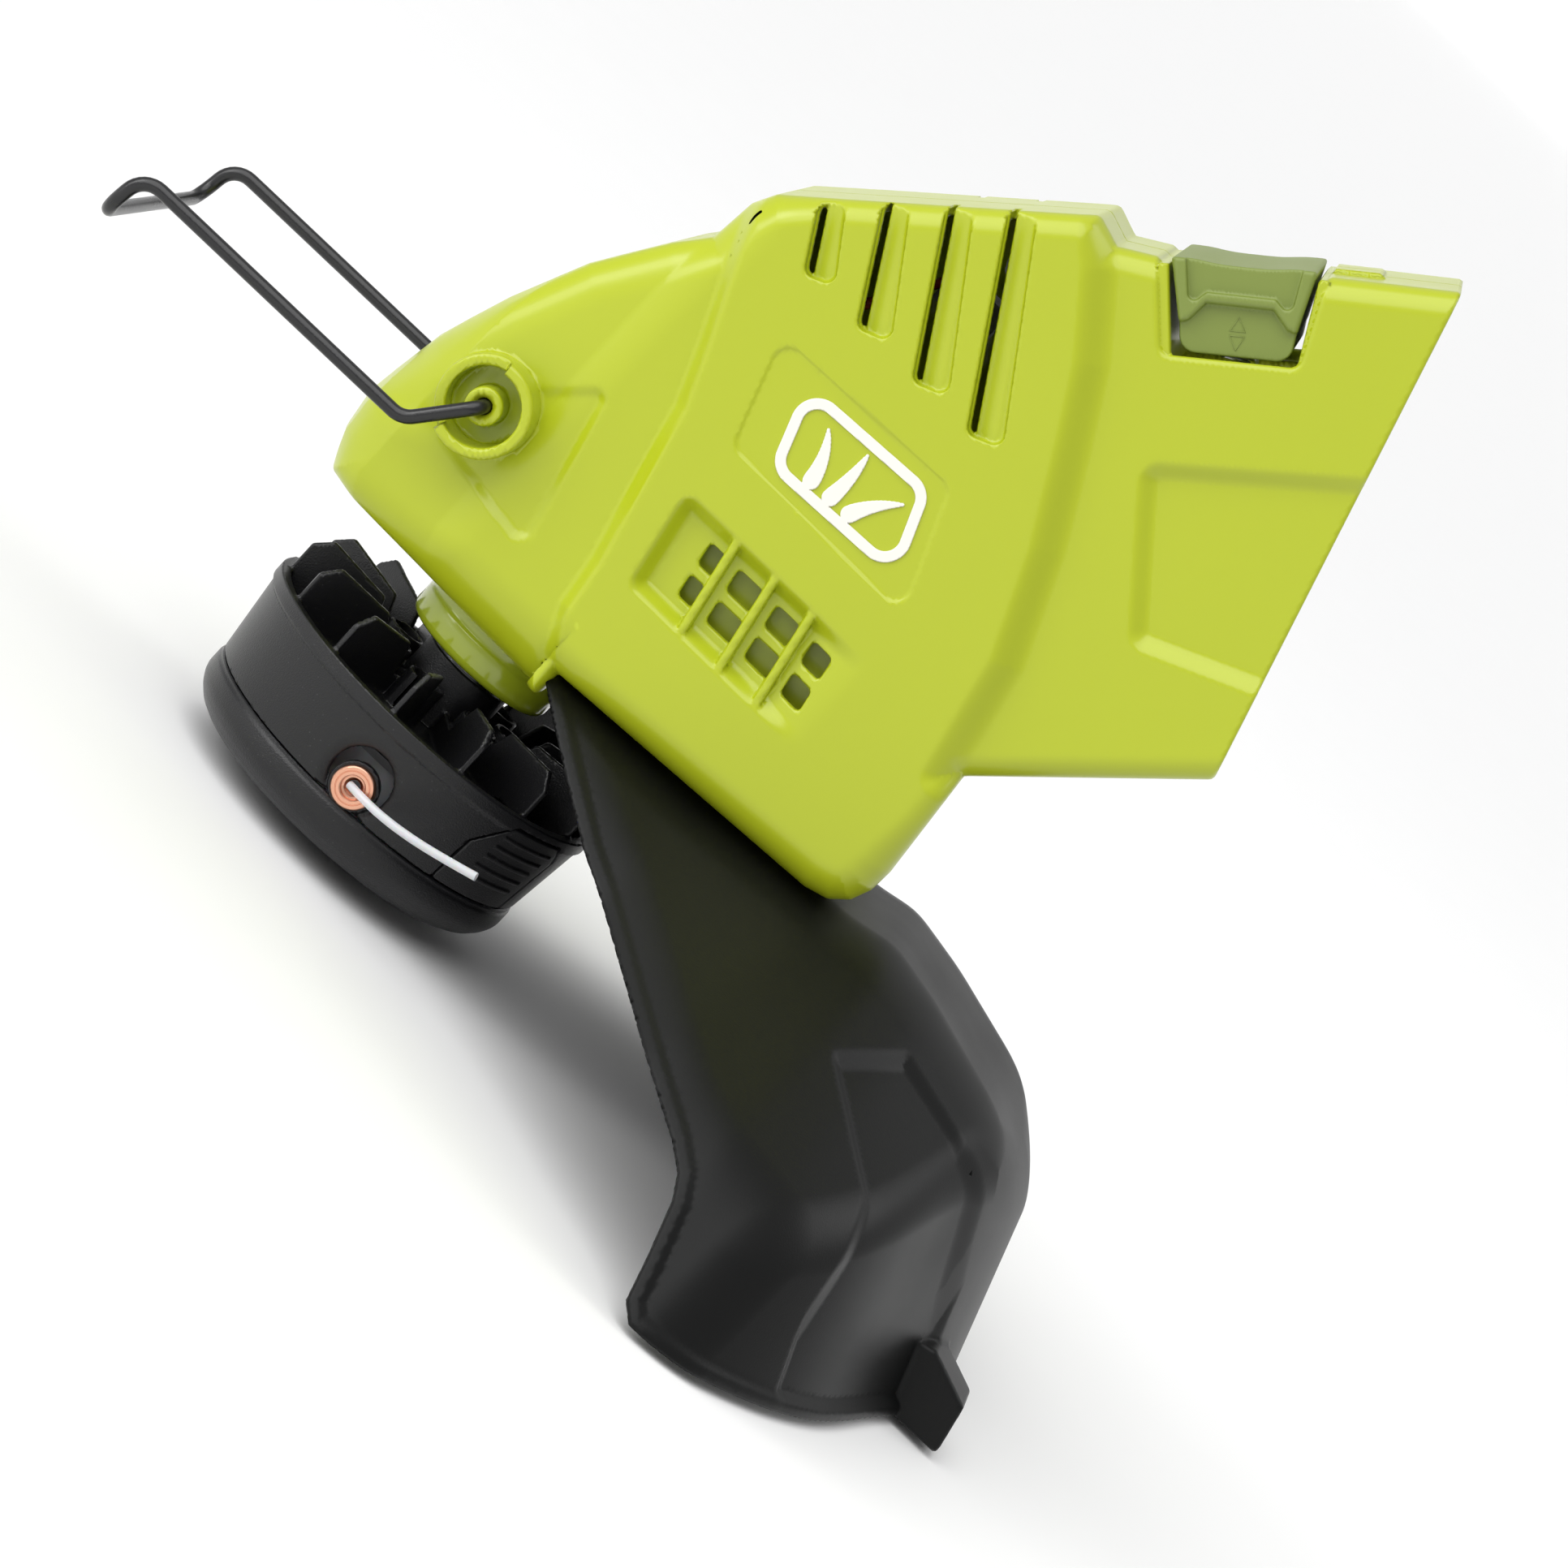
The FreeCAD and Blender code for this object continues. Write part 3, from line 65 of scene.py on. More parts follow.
def soft(t):
    """A step from 0 to 1 with soft ends."""
    t = np.clip(t, 0, 1)
    return t * t * (3 - 2 * t)


def shrunk(corners, distance):
    """A closed outline drawn in by a distance, whichever way round it runs."""
    points = np.array(corners, float)
    after = np.roll(points, -1, axis=0) - points
    after /= np.linalg.norm(after, axis=1)[:, None]
    x, y = points.T
    turn = np.sign(np.sum(x * np.roll(y, -1) - np.roll(x, -1) * y))
    inward = np.stack([-after[:, 1], after[:, 0]], 1) * turn
    before = np.roll(inward, 1, axis=0)
    middle = inward + before
    scale = 2 * distance / np.sum(middle * middle, axis=1)
    return points + middle * scale[:, None]


FAR = 1e3


def outline(u, v, corners, radius=0.0):
    """Distance to a closed outline in a plane. radius rounds its outer corners."""
    points = shrunk(corners, radius) if radius else np.array(corners, float)
    best = np.full(u.shape, np.inf)
    inside = np.zeros(u.shape, bool)
    for (ax, ay), (bx, by) in zip(points, np.roll(points, -1, axis=0)):
        ex = bx - ax
        ey = by - ay
        share = np.clip(((u - ax) * ex + (v - ay) * ey) / (ex * ex + ey * ey), 0, 1)
        best = np.minimum(best, (u - ax - share * ex) ** 2 + (v - ay - share * ey) ** 2)
        if ay != by:
            inside ^= ((ay > v) != (by > v)) & (u < ex * (v - ay) / ey + ax)
    return np.where(inside, -1, 1) * np.sqrt(best) - radius


def inside_step(u, v, corners, radius, width, start=0.5):
    """0 outside an outline and 1 inside it, with a soft step of that width at its edge."""
    return soft(-outline(u, v, corners, radius) / width + start)


def disc(u, v, centre, radius):
    return np.hypot(u - centre[0], v - centre[1]) - radius


def box(u, v, w, middle, half, radius=0.0):
    """A box with rounded edges."""
    gaps = [np.abs(a - m) - h + radius for a, m, h in zip((u, v, w), middle, half)]
    outside = np.sqrt(sum(np.maximum(g, 0) ** 2 for g in gaps))
    return outside + np.minimum(np.maximum(np.maximum(gaps[0], gaps[1]), gaps[2]), 0) - radius


# ---------------------------------------------------------------- from field to mesh

BLOCK = 6
BLOCK_REACH = 0.9  # half a block's diagonal, as a share of its side
FIELD_SLACK = 1.5  # how far a field may be from the real distance
LEAST_SLOPE = 0.2
DRAW_ROUNDS = 2
HOLE_SIDES = 8
CORNERS = np.array([(i, j, k) for i in (0, 1) for j in (0, 1) for k in (0, 1)])
EDGES = [(a, b) for a in range(8) for b in range(a + 1, 8) if np.abs(CORNERS[a] - CORNERS[b]).sum() == 1]


def grid(*counts):
    """Every whole-number place in a block of those counts."""
    return np.stack(np.meshgrid(*[np.arange(n) for n in counts], indexing="ij"), -1).reshape(-1, 3)


def slope_of(field, points, reach=0.05):
    """The field at each point, and the way it rises fastest."""
    here = field(*points.T)
    parts = []
    for axis in range(3):
        push = np.zeros(3)
        push[axis] = reach
        parts.append((field(*(points + push).T) - here) / reach)
    return here, np.stack(parts, 1)


def net(field, low, high, step):
    """Surface nets: one vertex in each cell that the surface crosses, then drawn onto the surface."""
    low = np.array(low, float)
    counts = np.ceil((np.array(high) - low) / (step * BLOCK)).astype(int)
    blocks = grid(*counts)
    middles = low + (blocks + 0.5) * BLOCK * step
    near = np.abs(field(*middles.T)) < BLOCK * step * BLOCK_REACH + FIELD_SLACK
    blocks = blocks[near] * BLOCK
    lattice = blocks[:, None] + grid(BLOCK + 1, BLOCK + 1, BLOCK + 1)[None]
    values = field(*(low + lattice.reshape(-1, 3) * step).T).reshape(-1, BLOCK + 1, BLOCK + 1, BLOCK + 1)
    spans = [values[:, i:BLOCK + i, j:BLOCK + j, k:BLOCK + k] for i, j, k in CORNERS]
    inside = sum((s < 0).astype(int) for s in spans)
    where = np.nonzero((inside > 0) & (inside < 8))
    cells = blocks[where[0]] + np.stack(where[1:], 1)
    ends = np.stack([s[where] for s in spans], 1)
    total = np.zeros((len(cells), 3))
    hits = np.zeros(len(cells))
    for a, b in EDGES:
        crossed = (ends[:, a] < 0) != (ends[:, b] < 0)
        gap = np.where(crossed, ends[:, a] - ends[:, b], 1)
        share = (ends[:, a] / gap)[:, None]
        total += crossed[:, None] * (CORNERS[a] + share * (CORNERS[b] - CORNERS[a]))
        hits += crossed
    points = low + (cells + total / hits[:, None]) * step

    size = counts * BLOCK + 1
    keys = (cells[:, 0] * size[1] + cells[:, 1]) * size[2] + cells[:, 2]
    order = np.argsort(keys)
    strides = np.array([size[1] * size[2], size[2], 1])
    faces = []
    for axis, other in enumerate((4, 2, 1)):
        first, second = [s for i, s in enumerate(strides) if i != axis]
        if axis == 1:
            first, second = second, first
        for outward, keep in ((1, (ends[:, 0] < 0) & (ends[:, other] >= 0)),
                              (-1, (ends[:, 0] >= 0) & (ends[:, other] < 0))):
            base = keys[keep]
            ring = np.stack([base - first - second, base - second, base, base - first], 1)[:, ::outward]
            found = np.searchsorted(keys[order], ring)
            found = np.minimum(found, len(keys) - 1)
            whole = (keys[order][found] == ring).all(axis=1)
            faces.append(order[found[whole]])
    faces = np.concatenate(faces)
    for _ in range(DRAW_ROUNDS):
        here, slope = slope_of(field, points)
        reach = here / np.maximum(np.sum(slope * slope, 1), LEAST_SLOPE)
        points = points - slope * np.clip(reach, -step / 2, step / 2)[:, None]
    return points, faces, slope_of(field, points)[1]


def mesh_piece(name, points, faces, material, body, normals=None):
    """A mesh object from points in millimetres, which rides on a body."""
    mesh = bpy.data.meshes.new(name)
    mesh.from_pydata((np.asarray(points) * MM).tolist(), [], [list(map(int, f)) for f in faces])
    whole = bmesh.new()
    whole.from_mesh(mesh)
    bmesh.ops.holes_fill(whole, edges=whole.edges, sides=HOLE_SIDES)
    whole.to_mesh(mesh)
    whole.free()
    mesh.polygons.foreach_set("use_smooth", np.ones(len(mesh.polygons), bool))
    if normals is not None:
        lengths = np.maximum(np.linalg.norm(normals, axis=1), 1e-9)
        mesh.normals_split_custom_set_from_vertices((normals / lengths[:, None]).tolist())
    mesh.materials.append(material)
    mesh.validate()
    piece = bpy.data.objects.new(name, mesh)
    bpy.context.scene.collection.objects.link(piece)
    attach(piece, body)
    return piece


def moulded(name, field, low, high, step, material, body, stands_for):
    """A piece meshed from its field, which stands for CAD nodes."""
    points, faces, normals = net(field, low, high, step)
    return finished(mesh_piece(name, points, faces, material, body, normals), stands_for)


def finished(piece, stands_for=()):
    """Hides the CAD nodes that a piece stands for."""
    if stands_for:
        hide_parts(*stands_for)
    return piece


EASE = 0.3
SHARP_TURN = math.radians(28)


def lathe(name, profile, material, body, stands_for, sides=144):
    """A closed profile of radius and height turned about the spindle, with its corners eased."""
    eased = []
    count = len(profile)
    for i, here in enumerate(profile):
        here = np.array(here, float)
        for other in (profile[i - 1], profile[(i + 1) % count]):
            way = np.array(other, float) - here
            length = np.linalg.norm(way)
            eased.append(here + way * min(EASE, length * EASE) / length)
    rings = len(eased)
    points = []
    for turn in np.arange(sides) * 2 * math.pi / sides:
        points += [(r * math.cos(turn), r * math.sin(turn), z) for r, z in eased]
    faces = []
    for side in range(sides):
        for ring in range(rings):
            ahead = (side + 1) % sides * rings
            up = (ring + 1) % rings
            faces.append((side * rings + ring, ahead + ring, ahead + up, side * rings + up))
    piece = mesh_piece(name, points, faces, material, body)
    piece.data.set_sharp_from_angle(angle=SHARP_TURN)
    return finished(piece, stands_for)


CORD_STEPS = 16


def round_curve(name, kind, places, radius, material, body, sections=6, closed=False):
    """A curve of round section through places in millimetres, which rides on a body."""
    curve = bpy.data.curves.new(name, "CURVE")
    curve.dimensions = "3D"
    curve.bevel_depth = radius * MM
    curve.bevel_resolution = sections
    curve.use_fill_caps = not closed
    line = curve.splines.new(kind)
    line.points.add(len(places) - 1)
    for point, place in zip(line.points, places):
        point.co = (*[c * MM for c in place], 1)
    line.use_cyclic_u = closed
    if kind == "NURBS":
        curve.resolution_u = CORD_STEPS
        line.order_u = 3
        line.use_endpoint_u = True
    curve.materials.append(material)
    piece = bpy.data.objects.new(name, curve)
    bpy.context.scene.collection.objects.link(piece)
    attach(piece, body)
    return piece


# ---------------------------------------------------------------- materials

COAT_ROUGH = 0.12
BROAD_SCALE = 22
SPECK_SCALE = 520
SPECK_SIZE = 0.10
GRAIN_HEIGHT = 0.0002


def material(name, colour, rough, metallic=0.0, grain=1800, bump=0.0, variation=0.03, coat=0.0,
             rough_spread=0.06, specks=0.0, specular=0.5):
    """Plastic or metal with a moulded or machined grain: its colour, gloss and height vary a little."""
    made = bpy.data.materials.new(name)
    made.use_nodes = True
    nodes = made.node_tree.nodes
    links = made.node_tree.links
    shader = nodes["Principled BSDF"]
    shader.inputs["Metallic"].default_value = metallic
    shader.inputs["Specular IOR Level"].default_value = specular
    shader.inputs["Coat Weight"].default_value = coat
    shader.inputs["Coat Roughness"].default_value = COAT_ROUGH
    place = nodes.new("ShaderNodeTexCoord")
    broad = nodes.new("ShaderNodeTexNoise")
    broad.inputs["Scale"].default_value = BROAD_SCALE
    broad.inputs["Detail"].default_value = 4
    fine = nodes.new("ShaderNodeTexNoise")
    fine.inputs["Scale"].default_value = grain
    fine.inputs["Detail"].default_value = 3
    links.new(place.outputs["Object"], broad.inputs["Vector"])
    links.new(place.outputs["Object"], fine.inputs["Vector"])
    tone = nodes.new("ShaderNodeMix")
    tone.data_type = "RGBA"
    tone.inputs["A"].default_value = (*[c * (1 - variation) for c in colour], 1)
    tone.inputs["B"].default_value = (*[min(1, c * (1 + variation)) for c in colour], 1)
    links.new(broad.outputs["Fac"], tone.inputs["Factor"])
    surface = tone.outputs["Result"]
    if specks:
        dust = nodes.new("ShaderNodeTexVoronoi")
        dust.inputs["Scale"].default_value = SPECK_SCALE
        links.new(place.outputs["Object"], dust.inputs["Vector"])
        rare = nodes.new("ShaderNodeMapRange")
        rare.inputs["From Min"].default_value = SPECK_SIZE
        rare.inputs["From Max"].default_value = 0.0
        links.new(dust.outputs["Distance"], rare.inputs["Value"])
        pale = nodes.new("ShaderNodeMix")
        pale.data_type = "RGBA"
        pale.inputs["B"].default_value = (*[c + specks for c in colour], 1)
        links.new(rare.outputs["Result"], pale.inputs["Factor"])
        links.new(surface, pale.inputs["A"])
        surface = pale.outputs["Result"]
    links.new(surface, shader.inputs["Base Color"])
    gloss = nodes.new("ShaderNodeMapRange")
    gloss.inputs["To Min"].default_value = rough - rough_spread
    gloss.inputs["To Max"].default_value = rough + rough_spread
    links.new(broad.outputs["Fac"], gloss.inputs["Value"])
    links.new(gloss.outputs["Result"], shader.inputs["Roughness"])
    if bump:
        height = nodes.new("ShaderNodeBump")
        height.inputs["Strength"].default_value = bump
        height.inputs["Distance"].default_value = GRAIN_HEIGHT
        links.new(fine.outputs["Fac"], height.inputs["Height"])
        links.new(height.outputs["Normal"], shader.inputs["Normal"])
    return made


GREEN = material("shell_green", (0.41, 0.475, 0.012), 0.30, bump=0.03, variation=0.02, coat=0.15)
COLLAR_GREEN = material("collar_green", (0.39, 0.47, 0.02), 0.16, bump=0.02, coat=0.6)
BUTTON_GREEN = material("button_green", (0.19, 0.245, 0.045), 0.42, bump=0.08)
BLACK = material("spool_black", (0.008, 0.008, 0.009), 0.33, grain=2600, bump=0.6, specks=0.06,
                 specular=0.42)
SHIELD_BLACK = material("shield_black", (0.004, 0.0042, 0.0042), 0.40, grain=2200, bump=0.12, variation=0.08,
                        rough_spread=0.1, specular=0.2)
WIRE_BLACK = material("wire_black", (0.010, 0.010, 0.011), 0.28, grain=900, bump=0.25)
STEEL = material("steel", (0.56, 0.57, 0.58), 0.30, 1.0, grain=600, bump=0.1)
ZINC = material("zinc", (0.36, 0.37, 0.38), 0.42, 1.0, grain=900, bump=0.2, variation=0.1)
COPPER = material("copper", (0.80, 0.42, 0.29), 0.27, 1.0, grain=1500, bump=0.15, variation=0.12)
WINDING = material("winding_copper", (0.58, 0.26, 0.10), 0.35, 1.0, grain=700, bump=0.6)
GREY = material("grey_plastic", (0.10, 0.10, 0.105), 0.5, grain=1600, bump=0.3)
MAGNET = material("ferrite", (0.06, 0.06, 0.065), 0.6, grain=800, bump=0.4)
CARBON = material("carbon", (0.02, 0.02, 0.02), 0.7, grain=900, bump=0.5)
LEAD_RED = material("lead_red", (0.35, 0.02, 0.02), 0.45, bump=0.2)
CREAM = material("badge_cream", (0.83, 0.81, 0.73), 0.32, bump=0.04, variation=0.015)
NYLON = material("nylon_line", (0.86, 0.87, 0.90), 0.22, bump=0.05, variation=0.02)
NYLON_SHADER = NYLON.node_tree.nodes["Principled BSDF"]
NYLON_SHADER.inputs["Transmission Weight"].default_value = 0.45
NYLON_SHADER.inputs["Subsurface Weight"].default_value = 0.3
NYLON_SHADER.inputs["Subsurface Scale"].default_value = 0.002
FLOOR = material("floor_white", (0.94, 0.94, 0.94), 0.7, variation=0.005, bump=0.02)

NODE_MATERIALS = {
    "housing_screws": STEEL, "motor_screws": STEEL, "shield_screws": STEEL, "cutter_screws": STEEL,
    "motor_can": ZINC, "motor_end_cap": GREY, "motor_magnets": MAGNET, "carbon_brushes": CARBON,
    "lower_bearing": STEEL, "upper_bearing": STEEL, "motor_plate": ZINC, "motor_leads": LEAD_RED,
    "lead_connector": GREY, "cutter_blade": STEEL, "tilt_pin": STEEL, "button_springs": STEEL,
    "pole_socket": GREY, "socket_bushes": COPPER, "motor_shaft": STEEL, "rotor_core": ZINC,
    "rotor_windings": WINDING, "commutator": COPPER, "drive_hub": STEEL, "hub_clip": STEEL,
    "feed_spring": STEEL, "line_spool": GREY, "wound_line": NYLON,
}


def paint_node(name, made):
    """Gives a CAD node its finish. Its mesh stays as it is."""
    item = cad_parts[name]
    for i in range(len(item.data.materials)):
        item.data.materials[i] = made
    if not item.data.materials:
        item.data.materials.append(made)


for node_name, made in NODE_MATERIALS.items():
    paint_node(node_name, made)


# ---------------------------------------------------------------- housing

FLOOR_Z = 67.0
HOOD_HALF = 41.0
BODY_HALF = 45.0
NECK_HALF = 40.0
SHELL_WALL = 2.6
PIVOT = (-35.8, 109.3)
SPINDLE_HOLE = 20.8
HOUSING_SIDE = [
    (-54, 70), (-59.5, 79), (-61.2, 88), (-59.8, 96), (-57, 110), (-50.2, 128.8), (-41.5, 148),
    (-30.7, 164.6), (-24.4, 172.5), (-23.2, 184), (-20, 190), (37, 237), (44.5, 234.3), (53.5, 239.4),
    (108.4, 280.1), (130, 297), (162, 177.6), (144.2, 160.9), (102.3, 121.8), (105.2, 94), (104.9, 88),
    (103, 83), (99, 79.4), (93, 77.8), (18, 74.4), (18, FLOOR_Z),
]
HOUSING_PLAN = [
    (-66.5, 12), (-60, 25.4), (-48, 35.7), (-27, HOOD_HALF), (-10, 60), (200, 60), (200, -60), (-10, -60),
    (-27, -HOOD_HALF), (-48, -35.7), (-60, -25.4), (-66.5, -12),
]
HOOD_REGION = [
    (-90, 205), (-30, 205), (-20.4, 181), (-8.9, 155), (-2.9, 140.3), (1.7, 121.6), (6.8, 100.8), (8.7, 88),
    (14, 76), (16, 40), (-90, 40),
]
NECK_REGION = [
    (33, 262), (36, 237), (45.1, 228.6), (58.9, 211.3), (69.4, 193.5), (80.6, 173.5), (91.7, 148.2),
    (98, 119), (200, 119), (200, 330), (60, 330),
]
LABEL = [(3.5, 168.1), (54.6, 169.5), (66.5, 140.6), (12.1, 141.9)]
NECK_RECESS = [(84.5, 202.6), (127.5, 237.6), (175, 250), (175, 195), (138.2, 184.6), (109.5, 172.6)]
GRILLE = [(10.5, 128), (15.5, 101.5), (74, 100.5), (70, 127.5)]
HOOD_POCKET = [(-40.5, 95), (-10.5, 90.5), (-7.5, 93.5), (-17, 133), (-29, 121), (-41, 118)]
WINDOW = [(50.2, 245), (54.6, 237.8), (68.6, 223.8), (93.3, 242.6), (84.2, 261), (81, 272)]
VENTS = [
    [(-10.8, 195), (-7.5, 201.2), (4.3, 184.5), (-2.8, 181.6)],
    [(-0.4, 205.5), (3.4, 211), (22.3, 184), (14.2, 181)],
    [(10.3, 215.1), (14.5, 220.2), (40.2, 184), (31.8, 180.8)],
    [(20.9, 224.6), (25.8, 229.1), (57.2, 184), (48.9, 180.6)],
]
SCREW_SPOTS = [(-44, 92), (-14, 172), (30, 212), (60, 96), (94, 96), (128, 166), (98, 262)]
SCREW_RECESS = 3.7
MOUTH_POINT = (108.4, 280.1)
MOUTH_RISE = 119.2
MOUTH_RUN = 35.8
MOUTH_SLANT = math.hypot(MOUTH_RISE, MOUTH_RUN)
MOUTH_NORMAL = (MOUTH_RISE / MOUTH_SLANT, MOUTH_RUN / MOUTH_SLANT)
LABEL_DEPTH = 0.4
NECK_RECESS_DEPTH = 2.4
POCKET_DEPTH = 1.3
GRILLE_DEPTH = 4.2
GRILLE_ROWS = (110.4, 118.9)
GRILLE_HOLES = ((23.8, 29.7), (32.6, 42.2), (44.6, 54.0), (56.4, 62.4))
GRILLE_HOLE_HALF = 2.9
GRILLE_RIBS = (30.0, 42.0, 53.7)
GRILLE_MIDDLE = 114.4
VENT_DEPTH = 3.6
CUT_DEPTH = 30  # holes in the sides reach in to this far from the middle plane
CUP_DEPTH = 34
CUP_TOP = 50
CUP_NOTCH = 6.6
CUP_RADIUS = 10.6
CUP_WALL = 1.45
SEAM = 0.06


def half_width(x, z):
    """How far the side stands out from the middle plane, with every shallow step and recess in it."""
    out = HOOD_HALF + (BODY_HALF - HOOD_HALF) * soft(outline(x, z, HOOD_REGION) / 4.5 + 0.5)
    out -= (BODY_HALF - NECK_HALF) * inside_step(x, z, NECK_REGION, 0, 9)
    out -= LABEL_DEPTH * inside_step(x, z, LABEL, 4, 0.9)
    out -= NECK_RECESS_DEPTH * inside_step(x, z, NECK_RECESS, 3, 5)
    out -= grille_depth(x, z)
    out -= POCKET_DEPTH * inside_step(x, z, HOOD_POCKET, 3, 3.2, 0.2)
    return out


def housing_body(x, y, z):
    """The housing's outside, solid: its side outline, its plan, and a keel with slanted sides."""
    side = outline(x, z, HOUSING_SIDE, 2.0)
    out = np.abs(y)
    plan = outline(x, out, HOUSING_PLAN, 1.5)
    edge = 6 + 4 * soft((-x - 5) / 20) + 3 * soft((110 - z) / 20)
    body = round_both(side, out - half_width(x, z), edge)
    body = round_both(body, plan, 8)
    keel = 0.66 * (out - 46) - 0.75 * (z - 66)
    keel_hood = (out - 31) * 0.75 - (z - 66) * 0.66
    return round_both(body, np.where(x < 14, keel_hood, keel), 4)


def vent_cuts(x, out, z):
    """Slanted recesses, deepest along the front edge, where each one is open."""
    recess = np.full(x.shape, FAR)
    slots = np.full(x.shape, FAR)
    for corners in VENTS:
        top_front, _, _, low_front = (np.array(c) for c in corners)
        way = (low_front - top_front) / np.linalg.norm(low_front - top_front)
        across = (x - top_front[0]) * -way[1] + (z - top_front[1]) * way[0]
        shape = outline(x, z, corners, 2.4)
        floor = BODY_HALF - VENT_DEPTH + VENT_DEPTH / 2 * soft((across - 2) / 5)
        recess = np.minimum(recess, round_both(shape, floor - out, 0.9))
        slots = np.minimum(slots, round_both(shape + 0.5, np.abs(across - 1.2) - 0.75, 0.3))
    return recess, np.maximum(slots, CUT_DEPTH - out)


def grille_depth(x, z):
    """The grille's recess: a soft edge all round, and a floor that rises to the rear."""
    return GRILLE_DEPTH * soft(-outline(x, z, GRILLE, 4) / 4.5) * soft((70 - x) / 22)


def grille_cuts(x, out, z):
    """Two rows of openings, cut short by the ribs."""
    holes = np.full(x.shape, FAR)
    half = GRILLE_HOLE_HALF
    lean = (z - GRILLE_ROWS[1]) * -0.18
    for low_x, high_x in GRILLE_HOLES:
        for middle_z in GRILLE_ROWS:
            corners = [(low_x, -half), (high_x, -half), (high_x, half), (low_x, half)]
            holes = np.minimum(holes, outline(x - lean, z - middle_z, corners, 1.1))
    return np.maximum(holes, CUT_DEPTH - out)


def grille_ribs(x, out, z):
    """Three slanted ribs over the grille, almost flush with the side."""
    ribs = np.full(x.shape, FAR)
    for middle in GRILLE_RIBS:
        ribs = np.minimum(ribs, np.abs(x - middle + 0.19 * (z - GRILLE_MIDDLE)) - 1.15)
    ribs = round_both(ribs, np.abs(z - GRILLE_MIDDLE) - 13.2, 0.3)
    return round_both(np.maximum(ribs, BODY_HALF - 7.5 - out), out - (BODY_HALF - 0.25), 0.8)


def pivot_cup(x, out, z):
    """The raised ring that the guard's end swings in, lower where the wire passes."""
    across = disc(x, z, PIVOT, 0)
    turn = np.degrees(np.arctan2(z - PIVOT[1], x - PIVOT[0])) % 360
    passing = soft((turn - 97) / 6) * soft((247 - turn) / 6)
    top = CUP_TOP - CUP_NOTCH * passing
    ring = round_both(np.abs(across - CUP_RADIUS) - CUP_WALL, out - top, 0.7)
    return np.maximum(ring, CUP_DEPTH - out)


NECK_MIDDLE = (69.0, 250.55)
NECK_SLOPE = math.radians(37.05)
NECK_WAY = (math.cos(NECK_SLOPE), math.sin(NECK_SLOPE))
GRILLE_BAFFLE = [(18, 124), (20, 104), (68, 104), (66, 124)]
WINDOW_PLATE = [(17.0, -0.6), (19.6, -0.6), (16.5, -24), (13.9, -24)]


def neck_frame(x, z):
    """Place along the neck's top line, and height out of it."""
    along = (x - NECK_MIDDLE[0]) * NECK_WAY[0] + (z - NECK_MIDDLE[1]) * NECK_WAY[1]
    rise = -(x - NECK_MIDDLE[0]) * NECK_WAY[1] + (z - NECK_MIDDLE[1]) * NECK_WAY[0]
    return along, rise


def inner_walls(x, out, z):
    """Plates inside that keep cuttings out: one behind the grille, and some round the window."""
    baffle = round_both(outline(x, z, GRILLE_BAFFLE, 2), np.abs(out - 33.5) - 0.9, 0.5)
    along, rise = neck_frame(x, z)
    for turn in (-1, 1):
        plate = outline(along, rise, [(turn * u, v) for u, v in WINDOW_PLATE], 0.4)
        baffle = np.minimum(baffle, round_both(plate, out - 39, 0.3))
    baffle = np.minimum(baffle, box(along, out, rise, (0, 35.2, -24.6), (15.5, 3.3, 0.9), 0.3))
    return np.minimum(baffle, box(along, out, rise, (25.2, 0, 0.2), (5.8, 14, 1.0), 0.5))


def housing_shell(x, y, z):
    """Both halves together, hollow, with every opening cut."""
    out = np.abs(y)
    body = housing_body(x, y, z)
    hollow = body + SHELL_WALL
    recess, slots = vent_cuts(x, out, z)
    body = carve(body, recess, 0.5)
    body = fillet_join(body, np.maximum(pivot_cup(x, out, z), -hollow), 0.6)
    dish = round_both(disc(x, z, PIVOT, 9.2), 39.6 - out, 1.2)
    body = carve(body, dish, 0.5)
    boss = np.maximum(round_both(disc(x, z, PIVOT, 4.6), out - 46.3, 0.6), CUP_DEPTH - out)
    body = fillet_join(body, boss, 0.6)
    bore = disc(x, z, PIVOT, 1.95) - 0.9 * soft((out - 45) / 1.5)
    body = carve(body, np.maximum(bore, CUP_DEPTH - out), 0.3)
    hollow = carve(hollow, recess - 2, 0.5)
    shell = carve(body, hollow, 0.3)
    shell = carve(shell, slots, 0.4)
    shell = carve(shell, grille_cuts(x, out, z), 0.5)
    shell = fillet_join(shell, grille_ribs(x, out, z), 0.5)
    shell = carve(shell, outline(x, z, WINDOW, 2.5), 1.3)
    shell = np.minimum(shell, inner_walls(x, out, z))
    mouth = (x - MOUTH_POINT[0]) * MOUTH_NORMAL[0] + (z - MOUTH_POINT[1]) * MOUTH_NORMAL[1]
    shell = round_both(shell, mouth, 0.9)
    return carve(shell, np.maximum(np.hypot(x, y) - SPINDLE_HOLE, z - 82), 0.6)


def left_half(x, y, z):
    return round_both(housing_shell(x, y, z), y + SEAM, 0.5)


def right_half(x, y, z):
    half = round_both(housing_shell(x, y, z), SEAM - y, 0.5)
    for spot in SCREW_SPOTS:
        half = carve(half, np.maximum(disc(x, z, spot, SCREW_RECESS), 20 - y), 0.8)
    return half


def housing():
    moulded("shell_left", left_half, (-63, -52, 64), (146, 1, 283), 0.9, GREEN, "housing",
            ["housing_left"])
    moulded("shell_right", right_half, (-63, -1, 64), (146, 52, 283), 0.9, GREEN, "housing",
            ["housing_right"])


